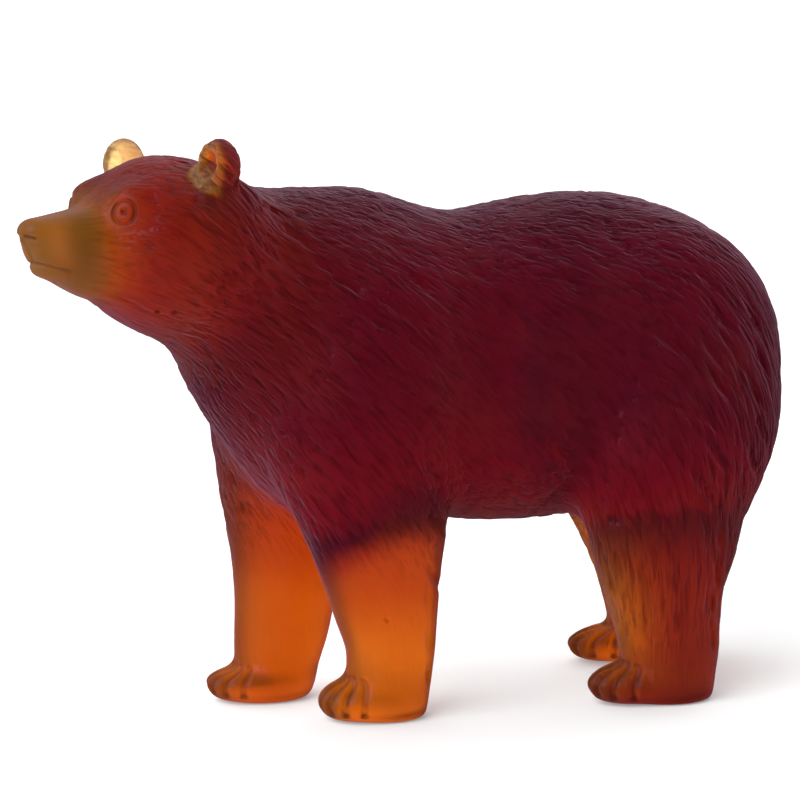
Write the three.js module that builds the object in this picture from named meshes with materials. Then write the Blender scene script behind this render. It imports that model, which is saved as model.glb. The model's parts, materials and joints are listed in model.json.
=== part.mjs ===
// A standing brown bear, cast as one piece of amber and burgundy crystal.
//
// Frame: millimetres, +Z up. The bear faces -X and its left flank faces -Y. It stands
// on its four soles at z = 0, and the origin is on the ground under the middle of it.
//
// The form is one field: below zero inside the bear, zero on its skin. The masses of the
// body are blended into it, and the mouth, eyes, ears and locks of fur are carved out of
// it. Its places and sizes are in model units, which the last step brings to millimetres
// so that the bear is BEAR_LENGTH long from its nose to its rump.
import * as THREE from "three";

const BEAR_LENGTH = 240;

const { hypot, abs, min, max, sqrt, sin, cos, floor } = Math;

// Small tools for numbers

const mix = (a, b, share) => a + (b - a) * share;
const minus = (a, b) => [a[0] - b[0], a[1] - b[1], a[2] - b[2]];
const plus = (a, b, scale = 1) => [a[0] + b[0] * scale, a[1] + b[1] * scale, a[2] + b[2] * scale];
const dot = (a, b) => a[0] * b[0] + a[1] * b[1] + a[2] * b[2];
const cross = (a, b) => [
  a[1] * b[2] - a[2] * b[1],
  a[2] * b[0] - a[0] * b[2],
  a[0] * b[1] - a[1] * b[0],
];
const unit = (a) => {
  const length = hypot(a[0], a[1], a[2]) || 1;
  return [a[0] / length, a[1] / length, a[2] / length];
};

// A smooth course through rows [place, value, value, ...]: a function of the place.
function course(rows) {
  const last = rows.length - 1;
  const start = rows[0][0];
  const span = rows[last][0] - start;
  const columns = rows[0].length - 1;
  const table = new Float64Array((span + 2) * columns);
  let i = 0;
  for (let n = 0; n <= span + 1; n++) {
    const at = min(start + n, rows[last][0]);
    while (i < last - 1 && rows[i + 1][0] < at) i++;
    const [p0, p1, p2, p3] = [rows[max(i - 1, 0)], rows[i], rows[i + 1], rows[min(i + 2, last)]];
    const width = p2[0] - p1[0];
    const t = (at - p1[0]) / width;
    for (let c = 1; c <= columns; c++) {
      const startSlope = ((p2[c] - p0[c]) / (p2[0] - p0[0])) * width;
      const endSlope = ((p3[c] - p1[c]) / (p3[0] - p1[0])) * width;
      table[n * columns + c - 1] =
        (2 * t ** 3 - 3 * t ** 2 + 1) * p1[c] +
        (t ** 3 - 2 * t ** 2 + t) * startSlope +
        (3 * t ** 2 - 2 * t ** 3) * p2[c] +
        (t ** 3 - t ** 2) * endSlope;
    }
  }
  return (place, out) => {
    const at = min(max(place - start, 0), span);
    const n = floor(at);
    for (let c = 0; c < columns; c++)
      out[c] = mix(table[n * columns + c], table[(n + 1) * columns + c], at - n);
    return out;
  };
}

// Joins two fields, rounding the valley between them over `reach`.
function join(a, b, reach) {
  const h = max(reach - abs(a - b), 0) / reach;
  return min(a, b) - (h * h * reach) / 4;
}

// Cuts b out of a, with a soft edge.
const carve = (a, b, reach) => -join(-a, b, reach);

// An egg: radii are [ahead, behind, sideways, below, above] of its centre.
function egg(p, centre, radii) {
  const dx = p[0] - centre[0];
  const dy = p[1] - centre[1];
  const dz = p[2] - centre[2];
  const rx = dx < 0 ? radii[0] : radii[1];
  const ry = radii[2];
  const rz = dz < 0 ? radii[3] : radii[4];
  const ux = dx / rx;
  const uy = dy / ry;
  const uz = dz / rz;
  const vx = ux / rx;
  const vy = uy / ry;
  const vz = uz / rz;
  const k0 = sqrt(ux * ux + uy * uy + uz * uz);
  const k1 = sqrt(vx * vx + vy * vy + vz * vz);
  return k1 < 1e-9 ? -min(rx, ry, rz) : (k0 * (k0 - 1)) / k1;
}

// The trunk. Rows are [centre], [radii], blend; a haunch is the same on both sides.

const TRUNK = [
  [[140, 0, 400], [252, 276, 142, 168, 237], 1],
  [[-10, 0, 420], [250, 260, 143, 190, 194], 60],
  [[-176, 0, 440], [176, 180, 128, 204, 208], 50],
  [[-256, 4, 496], [119, 160, 108, 160, 136], 50],
];
const HAUNCH = [[232, 60, 440], [140, 150, 85, 160, 152]];
const HAUNCH_BLEND = 50;
const TAIL = [[410, 0, 392], [22, 14, 20, 50, 36]];
const TAIL_BLEND = 14;

function trunk(p) {
  let d = 1e3;
  for (const mass of TRUNK) d = join(d, egg(p, mass[0], mass[1]), mass[2]);
  d = join(d, egg([p[0], abs(p[1]), p[2]], HAUNCH[0], HAUNCH[1]), HAUNCH_BLEND);
  return p[0] > 330 ? join(d, egg(p, ...TAIL), TAIL_BLEND) : d;
}

// Hollows of the flank: behind the shoulder blade, and ahead of the thigh.
const HOLLOWS = [
  [[-30, 214, 440], [66, 60, 72, 200, 170]],
  [[102, 214, 376], [50, 40, 66, 170, 150]],
];
const HOLLOW_BLEND = 56;

// Limbs. A leg's rows are [z, centre x, centre y, half length, half width].

const LIMBS = [
  {
    leg: [
      [0, -146, -66, 46, 42],
      [46, -146, -66, 54, 43],
      [85, -144, -66, 57, 44],
      [124, -150, -68, 65, 47],
      [176, -158, -71, 76, 51],
      [227, -166, -74, 90, 55],
      [291, -178, -76, 106, 58],
      [360, -186, -74, 112, 54],
      [420, -186, -66, 90, 40],
    ],
    muscle: [[-172, -64, 420], [112, 104, 80, 160, 166]],
    paw: { toe: -236, heel: -109, y: -63, side: 47, high: 54, turn: 34 },
  },
  {
    leg: [
      [0, -250, 81, 50, 42],
      [46, -240, 81, 56, 43],
      [75, -235, 81, 61, 44],
      [124, -229, 81, 66, 47],
      [176, -224, 79, 75, 51],
      [227, -219, 77, 89, 55],
      [284, -215, 75, 104, 58],
      [360, -208, 72, 112, 54],
      [420, -200, 66, 90, 40],
    ],
    muscle: [[-184, 64, 406], [128, 104, 80, 150, 180]],
    paw: { toe: -334, heel: -198, y: 80, side: 48, high: 44, turn: 24 },
  },
  {
    leg: [
      [0, 220, -117, 52, 44],
      [60, 216, -116, 66, 48],
      [85, 214, -115, 70, 50],
      [133, 209, -113, 79, 54],
      [185, 212, -108, 97, 60],
      [240, 216, -100, 111, 66],
      [310, 226, -92, 124, 70],
      [380, 236, -80, 120, 62],
      [430, 236, -70, 90, 44],
    ],
    muscle: [[236, -68, 340], [136, 143, 92, 140, 150]],
    paw: { toe: 106, heel: 266, y: -112, side: 46, high: 54, turn: 26 },
  },
  {
    leg: [
      [0, 310, 101, 52, 44],
      [60, 305, 101, 66, 48],
      [85, 303, 101, 71, 50],
      [133, 296, 100, 81, 54],
      [185, 286, 97, 98, 60],
      [240, 271, 94, 112, 66],
      [310, 262, 88, 124, 70],
      [380, 252, 80, 120, 62],
      [430, 246, 70, 90, 44],
    ],
    muscle: [[242, 68, 340], [136, 137, 92, 140, 150]],
    paw: { toe: 180, heel: 362, y: 102, side: 48, high: 50, turn: 24 },
  },
];
const LEG_BLEND = 34;
const MUSCLE_BLEND = 44;
const LEG_COURSES = LIMBS.map(({ leg }) => course(leg));
const LEG_TOPS = LIMBS.map(({ leg }) => leg[leg.length - 1][0]);

const station = [0, 0, 0, 0];

function leg(p, at, top) {
  at(p[2], station);
  const ux = (p[0] - station[0]) / station[2];
  const uy = (p[1] - station[1]) / station[3];
  const vx = ux / station[2];
  const vy = uy / station[3];
  const k0 = sqrt(ux * ux + uy * uy);
  const k1 = sqrt(vx * vx + vy * vy);
  const ring = k1 < 1e-9 ? -station[3] : (k0 * (k0 - 1)) / k1;
  const over = max(p[2] - top, 0);
  return over > 0 ? sqrt(max(ring, 0) ** 2 + over * over) : ring;
}

// A paw: a rounded pad with a flat sole. Five toes are parted in its front by grooves,
// and a paw's turn is how far they face to the bear's left, in degrees.
const PAW = { middle: 0.52, centre: 24, below: 34, blend: 16, top: 90 };
const TOES = { count: 5, apart: 23, high: 64, low: -18, points: 5, radius: 4.2, depth: 0.5, blend: 4 };

const pawCentre = ({ toe, heel, y }) => [mix(toe, heel, PAW.middle), y, PAW.centre];

function pawRadii({ toe, heel, side, high }) {
  const middle = mix(toe, heel, PAW.middle);
  return [middle - toe, heel - middle, side, PAW.below, high - PAW.centre];
}

const paw = (p, one) => egg(p, pawCentre(one), pawRadii(one));

// The places along the groove between two toes, from its top down to near the sole
function toeGroove(one, index) {
  const [x, y, z] = pawCentre(one);
  const [front, , side, below, above] = pawRadii(one);
  const across = THREE.MathUtils.degToRad(TOES.apart * (index - TOES.count / 2) - one.turn);
  const places = [];
  for (let i = 0; i < TOES.points; i++) {
    const rise = THREE.MathUtils.degToRad(mix(TOES.high, TOES.low, i / (TOES.points - 1)));
    const level = cos(rise);
    const up = sin(rise) * (rise > 0 ? above : below);
    places.push([x - front * cos(across) * level, y + side * sin(across) * level, z + up]);
  }
  return places;
}

function limbs(p, body) {
  let d = body;
  for (const one of LIMBS) d = join(d, egg(p, one.muscle[0], one.muscle[1]), MUSCLE_BLEND);
  const mirrored = [p[0], abs(p[1]), p[2]];
  for (const hollow of HOLLOWS) d = carve(d, egg(mirrored, hollow[0], hollow[1]), HOLLOW_BLEND);
  for (let i = 0; i < LIMBS.length; i++)
    if (p[2] < LEG_TOPS[i] + 40) d = join(d, leg(p, LEG_COURSES[i], LEG_TOPS[i]), LEG_BLEND);
  if (p[2] < PAW.top) for (const one of LIMBS) d = join(d, paw(p, one.paw), PAW.blend);
  return d;
}

// The neck, and the head, which is turned to the bear's left about the neck.

const HEAD = { turn: THREE.MathUtils.degToRad(18), pivot: [-300, 0] };
const NECK = [
  [[-300, -6, 540], [104, 130, 102, 162, 98], 50],
  [[-362, -26, 562], [128, 110, 97, 100, 92], 40],
];
const HEAD_BLEND = 46;

// A place in the head's own frame: s ahead of the pivot, t to the bear's left, z up.
function headPlace([x, y, z]) {
  const dx = x - HEAD.pivot[0];
  const dy = y - HEAD.pivot[1];
  const c = cos(HEAD.turn);
  const s = sin(HEAD.turn);
  return [-dx * c - dy * s, dx * s - dy * c, z];
}

// Rows along the muzzle: [s, middle z, half width, half height].
const MUZZLE = course([
  [150, 590, 84, 80],
  [180, 586, 74, 74],
  [215, 585, 57, 61],
  [249, 587, 44, 50],
  [283, 593, 35, 38],
  [312, 599, 28, 28],
  [330, 601, 26, 24],
]);
const MUZZLE_SQUARENESS = 2.5;
const MUZZLE_END = 318;
const MUZZLE_SLANT = 0.22;
const MUZZLE_ROOT = 150;
const MUZZLE_ROUNDING = 26;
const SKULL = [[-128, 0, 610], [99, 98, 97, 84, 84]];
const CHEEK = [[-126, 50, 584], [84, 76, 56, 62, 74]];
const BROW = [[-198, 42, 638], [25, 58, 25, 30, 27]];
const NOSE = [[-308, 0, 612], [15, 14, 19, 15, 14]];
const CHIN = [[-290, 0, 569], [16, 34, 17, 9, 16]];
const FACE_BLENDS = { cheek: 34, muzzle: 26, brow: 17, nose: 7, chin: 10, base: 24, ear: 13 };

function muzzle(s, t, z) {
  const [middle, wide, high] = MUZZLE(s, [0, 0, 0]);
  const n = MUZZLE_SQUARENESS;
  const k = ((abs(t) / wide) ** n + (abs(z - middle) / high) ** n) ** (1 / n);
  const end = MUZZLE_END + MUZZLE_SLANT * (z - NOSE[0][2]);
  const bar = carve((k - 1) * min(wide, high), end - s, MUZZLE_ROUNDING);
  return max(bar, MUZZLE_ROOT - s);
}

// An ear stands across the head, its cup open ahead and a little outward. Its root runs
// down to the crown, and a base of fur carries both.
const EAR = {
  centres: { left: [-112, 92, 684], right: [-116, 96, 678] },
  turn: THREE.MathUtils.degToRad(-4),
  shell: [24, 24, 28, 24, 32],
  root: [4, -17, -15],
  rootRadii: [18, 22, 34, 26, 23],
  rootBlend: 12,
  cup: [-27, 1, 2],
  cupRadii: [20, 24, 18, 17, 21],
  cupBlend: 5,
};
const EAR_BASE = [[-104, 74, 634], [36, 52, 38, 56, 38]];

function ear(q, t) {
  const d = minus(q, t > 0 ? EAR.centres.left : EAR.centres.right);
  const c = cos(EAR.turn);
  const s = sin(EAR.turn);
  const place = [d[0] * c - d[1] * s, d[0] * s + d[1] * c, d[2]];
  const shell = egg(place, [0, 0, 0], EAR.shell);
  const whole = join(shell, egg(place, EAR.root, EAR.rootRadii), EAR.rootBlend);
  return carve(whole, egg(place, EAR.cup, EAR.cupRadii), EAR.cupBlend);
}

function head(p) {
  const [s, t, z] = headPlace(p);
  const q = [-s, abs(t), z];
  let d = join(egg(q, ...SKULL), egg(q, ...CHEEK), FACE_BLENDS.cheek);
  d = join(d, muzzle(s, t, z), FACE_BLENDS.muzzle);
  d = join(d, egg(q, ...BROW), FACE_BLENDS.brow);
  d = join(d, egg(q, ...NOSE), FACE_BLENDS.nose);
  d = join(d, egg(q, ...CHIN), FACE_BLENDS.chin);
  d = join(d, egg(q, ...EAR_BASE), FACE_BLENDS.base);
  return join(d, ear(q, t), FACE_BLENDS.ear);
}

// The whole form before the fine carving
function form(p) {
  let d = limbs(p, trunk(p));
  if (p[0] < -100) for (const mass of NECK) d = join(d, egg(p, mass[0], mass[1]), mass[2]);
  if (p[0] < -150 && p[2] > 380) d = join(d, head(p), HEAD_BLEND);
  return d;
}

// Fine carving: grooves cut along lines on the skin.

// The way the form's field rises fastest at a place
function slope(field, p, step = 0.5) {
  const rise = (axis) => {
    const a = [...p];
    const b = [...p];
    a[axis] -= step;
    b[axis] += step;
    return field(b) - field(a);
  };
  return unit([rise(0), rise(1), rise(2)]);
}

// The place on the skin nearest to p, near enough
function onSkin(p) {
  let at = p;
  for (let i = 0; i < 12; i++) at = plus(at, slope(form, at), -form(at));
  return at;
}

// The place in the bear's frame of one in the head's frame
function fromHead(s, t, z) {
  const c = cos(HEAD.turn);
  const n = sin(HEAD.turn);
  return [HEAD.pivot[0] - s * c + t * n, HEAD.pivot[1] - s * n - t * c, z];
}

const GROOVE_BLEND = 2.5;

// A groove through places, each brought to the skin, with the radius of its cut.
function groove(places, radius, depth = 0.5, blend = GROOVE_BLEND) {
  const points = places.map((p) => {
    const at = onSkin(p);
    return plus(at, slope(form, at), radius * (1 - 2 * depth));
  });
  return { points, radius, blend };
}

const EYE = { place: [222, 58, 635], ring: 13.8, groove: 2.3, pupil: 3.6, sides: 24 };
const NOSTRIL = {
  line: [
    [325, 8, 607],
    [316, 17, 605],
  ],
  radius: 3.2,
  depth: 0.6,
};
const MOUTH = {
  line: [
    [316, 0, 576],
    [306, 19, 574],
    [292, 27, 571],
    [279, 33, 568],
  ],
  radius: 2.2,
};
const PHILTRUM = {
  line: [
    [330, 0, 600],
    [326, 0, 588],
    [320, 0, 578],
  ],
  radius: 2.2,
};

// A line in the head's frame, on the bear's left (1) or mirrored to its right (-1)
const onSide = (line, side) => line.map(([s, t, z]) => fromHead(s, side * t, z));

function eye(side) {
  const [s, t, z] = EYE.place;
  const centre = onSkin(fromHead(s, side * t, z));
  const out = slope(form, centre);
  const u = unit(cross(out, [0, 0, 1]));
  const v = cross(u, out);
  const ring = [];
  for (let i = 0; i <= EYE.sides; i++) {
    const a = (2 * Math.PI * i) / EYE.sides;
    const place = plus(plus(centre, u, EYE.ring * cos(a)), v, EYE.ring * sin(a));
    ring.push(onSkin(place));
  }
  return { centre, ring: groove(ring, EYE.groove, 0.6, 1.5), pupil: plus(centre, v, -1.5) };
}

const SIDES = [-1, 1];
const eyes = SIDES.map(eye);
const grooves = [
  ...eyes.map(({ ring }) => ring),
  ...eyes.map(({ pupil }) => groove([pupil, plus(pupil, [0, 0, 2])], EYE.pupil, 0.4)),
  ...SIDES.map((side) => groove(onSide(MOUTH.line, side), MOUTH.radius)),
  ...SIDES.map((side) => groove(onSide(NOSTRIL.line, side), NOSTRIL.radius, NOSTRIL.depth)),
  groove(onSide(PHILTRUM.line, 1), PHILTRUM.radius),
];
for (const one of LIMBS)
  for (let i = 1; i < TOES.count; i++)
    grooves.push(groove(toeGroove(one.paw, i), TOES.radius, TOES.depth, TOES.blend));

// Locks of fur. A row of cuts: they start along a line from the first place to the
// second, each place being [x, z] on the flank, and each cut runs the same way and fades
// at both ends. The rows go from the neck to the rump, and then down the hind and the
// front leg.
const LOCKS = [
  { from: [-322, 645], to: [-352, 520], run: [46, -30], count: 8 },
  { from: [-290, 610], to: [-322, 470], run: [52, -40], count: 8 },
  { from: [-236, 560], to: [-270, 400], run: [50, -46], count: 7 },
  { from: [-176, 600], to: [-196, 420], run: [54, -34], count: 6 },
  { from: [-128, 330], to: [-118, 200], run: [34, -44], count: 5 },
  { from: [-70, 560], to: [-60, 340], run: [58, -26], count: 7 },
  { from: [20, 590], to: [30, 300], run: [58, -28], count: 8 },
  { from: [130, 590], to: [150, 400], run: [56, -34], count: 6 },
  { from: [230, 560], to: [214, 300], run: [42, -50], count: 7 },
  { from: [310, 500], to: [292, 240], run: [30, -52], count: 7 },
  { from: [262, 230], to: [250, 110], run: [8, -48], count: 4 },
  { from: [-112, 170], to: [-106, 70], run: [3, -36], count: 3 },
];
const LOCK = { radius: 5.5, depth: 0.5, blend: 2.5, nearest: 60 };
const LOCK_POINTS = [0, 0.5, 1];

// The place on the skin of one flank, seen straight from that side
function onFlank(x, z, side) {
  let y = 220;
  for (let i = 0; i < 40 && y > 0; i++) y -= 0.8 * max(form([x, side * y, z]), 0.01);
  return [x, side * y, z];
}

for (const side of SIDES)
  for (const { from, to, run, count } of LOCKS)
    for (let i = 0; i < count; i++) {
      const x = mix(from[0], to[0], i / (count - 1)) + (i % 2) * run[0] * 0.4;
      const z = mix(from[1], to[1], i / (count - 1)) + (i % 2) * run[1] * 0.1;
      const points = LOCK_POINTS.map((share) => {
        const at = onFlank(x + run[0] * share, z + run[1] * share, side);
        const depth = LOCK.depth * 4 * share * (1 - share);
        return plus(at, slope(form, at), LOCK.radius * (1 - 2 * depth));
      });
      if (points.every((point) => abs(point[1]) > LOCK.nearest))
        grooves.push({ points, radius: LOCK.radius, blend: LOCK.blend });
    }

function segmentDistance(p, a, b) {
  const ab = minus(b, a);
  const ap = minus(p, a);
  const t = min(max(dot(ap, ab) / dot(ab, ab), 0), 1);
  return hypot(ap[0] - ab[0] * t, ap[1] - ab[1] * t, ap[2] - ab[2] * t);
}

// How far from the skin the carving is felt
const CARVED = 14;

for (const one of grooves) {
  const reach = one.radius + one.blend;
  one.low = [0, 1, 2].map((axis) => min(...one.points.map((p) => p[axis])) - reach);
  one.high = [0, 1, 2].map((axis) => max(...one.points.map((p) => p[axis])) + reach);
}

function bear(p) {
  let d = form(p);
  if (abs(d) < CARVED)
    for (const { points, radius, blend, low, high } of grooves) {
      if (p[0] < low[0] || p[0] > high[0] || p[1] < low[1] || p[1] > high[1]) continue;
      if (p[2] < low[2] || p[2] > high[2]) continue;
      let near = 1e3;
      for (let i = 1; i < points.length; i++)
        near = min(near, segmentDistance(p, points[i - 1], points[i]));
      d = carve(d, near - radius, blend);
    }
  return max(d, -p[2]);
}

// The skin of the field as a closed mesh

// Grid lines from low to high; zones are [up to, step].
function gridLines(low, zones) {
  const lines = [low];
  for (const [end, step] of zones) {
    while (lines[lines.length - 1] < end - step / 2) lines.push(lines[lines.length - 1] + step);
  }
  return lines;
}

const GRID = {
  x: gridLines(-632, [[-546, 3.5], [-476, 2.2], [-360, 3.5], [-80, 5], [460, 6]]),
  y: gridLines(-186, [[-142, 5], [-106, 2.2], [-32, 4.5], [6, 2.2], [178, 5]]),
  z: gridLines(-12, [[68, 4], [500, 6.5], [618, 3.6], [652, 2.2], [728, 3.6]]),
};
const BLOCK = 4;
const BLOCK_MARGIN = 1.3;
const TOUCH = 0.05;

// Where the skin would touch itself at an edge or a corner of the grid, fills the grid
// point that is nearest to it, so that the mesh stays one clean skin.
function settle(values, size, stride) {
  const cube = [0, 1, 2, 3, 4, 5, 6, 7].map(
    (c) => (c & 1) + ((c >> 1) & 1) * stride[1] + ((c >> 2) & 1) * stride[2],
  );
  const squares = [
    [0, 1],
    [0, 2],
    [1, 2],
  ].map(([a, b]) => [0, stride[a], stride[a] + stride[b], stride[b]]);
  const fill = (nodes) => {
    const open = nodes.filter((node) => values[node] >= 0);
    values[open.reduce((least, node) => (values[node] < values[least] ? node : least))] = -TOUCH;
  };
  for (let changed = true; changed; ) {
    changed = false;
    for (let k = 0; k < size[2] - 1; k++)
      for (let j = 0; j < size[1] - 1; j++)
        for (let i = 0; i < size[0] - 1; i++) {
          const base = i + j * stride[1] + k * stride[2];
          if (abs(values[base]) > 20) continue;
          for (const square of squares) {
            const inside = (corner) => values[base + square[corner]] < 0;
            if (inside(0) !== inside(2) || inside(1) !== inside(3) || inside(0) === inside(1)) continue;
            fill(square.map((offset) => base + offset));
            changed = true;
          }
          let count = 0;
          for (const offset of cube) if (values[base + offset] < 0) count++;
          if (count !== 2 && count !== 6) continue;
          for (let c = 0; c < 4; c++) {
            const [a, b] = [base + cube[c], base + cube[7 - c]];
            if (values[a] < 0 !== (count === 2) || values[b] < 0 !== (count === 2)) continue;
            fill(cube.map((offset) => base + offset));
            changed = true;
          }
        }
  }
}

function surfaceNet(field, lines) {
  const size = lines.map((line) => line.length);
  const stride = [1, size[0], size[0] * size[1]];
  const values = new Float32Array(size[0] * size[1] * size[2]);
  const blocks = size.map((n) => Math.ceil(n / BLOCK));
  for (let bk = 0; bk < blocks[2]; bk++)
    for (let bj = 0; bj < blocks[1]; bj++)
      for (let bi = 0; bi < blocks[0]; bi++) {
        const first = [bi, bj, bk].map((b) => b * BLOCK);
        const last = first.map((n, axis) => min(n + BLOCK, size[axis]) - 1);
        const low = first.map((n, axis) => lines[axis][n]);
        const high = last.map((n, axis) => lines[axis][n]);
        const centre = low.map((value, axis) => (value + high[axis]) / 2);
        const radius = (hypot(...minus(high, low)) / 2 + 8) * BLOCK_MARGIN;
        const middle = field(centre);
        const far = abs(middle) > radius;
        for (let k = first[2]; k <= last[2]; k++)
          for (let j = first[1]; j <= last[1]; j++)
            for (let i = first[0]; i <= last[0]; i++)
              values[i + j * stride[1] + k * stride[2]] = far
                ? middle
                : field([lines[0][i], lines[1][j], lines[2][k]]);
      }

  settle(values, size, stride);
  const corners = [0, 1, 2, 3, 4, 5, 6, 7].map((c) => [c & 1, (c >> 1) & 1, (c >> 2) & 1]);
  const offsets = corners.map(([a, b, c]) => a + b * stride[1] + c * stride[2]);
  const edges = [];
  corners.forEach((_, a) => {
    for (const bit of [1, 2, 4]) if (!(a & bit)) edges.push([a, a | bit]);
  });
  const positions = [];
  const vertexOf = new Int32Array(values.length).fill(-1);
  for (let k = 0; k < size[2] - 1; k++)
    for (let j = 0; j < size[1] - 1; j++)
      for (let i = 0; i < size[0] - 1; i++) {
        const base = i + j * stride[1] + k * stride[2];
        let inside = 0;
        for (const offset of offsets) if (values[base + offset] < 0) inside++;
        if (inside === 0 || inside === 8) continue;
        const cell = [i, j, k];
        const sum = [0, 0, 0];
        let count = 0;
        for (const [a, b] of edges) {
          const va = values[base + offsets[a]];
          const vb = values[base + offsets[b]];
          if (va < 0 === vb < 0) continue;
          const t = va / (va - vb);
          for (let axis = 0; axis < 3; axis++) {
            const from = lines[axis][cell[axis] + corners[a][axis]];
            const to = lines[axis][cell[axis] + corners[b][axis]];
            sum[axis] += mix(from, to, t);
          }
          count++;
        }
        vertexOf[base] = positions.length / 3;
        positions.push(sum[0] / count, sum[1] / count, sum[2] / count);
      }

  const faces = [];
  for (let k = 1; k < size[2] - 1; k++)
    for (let j = 1; j < size[1] - 1; j++)
      for (let i = 1; i < size[0] - 1; i++) {
        const base = i + j * stride[1] + k * stride[2];
        const here = values[base] < 0;
        for (let axis = 0; axis < 3; axis++) {
          if (here === values[base + stride[axis]] < 0) continue;
          const u = stride[(axis + 1) % 3];
          const w = stride[(axis + 2) % 3];
          const ring = [base - u - w, base - w, base, base - u].map((n) => vertexOf[n]);
          if (!here) ring.reverse();
          faces.push(ring[0], ring[1], ring[2], ring[0], ring[2], ring[3]);
        }
      }
  return { positions, faces };
}

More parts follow.
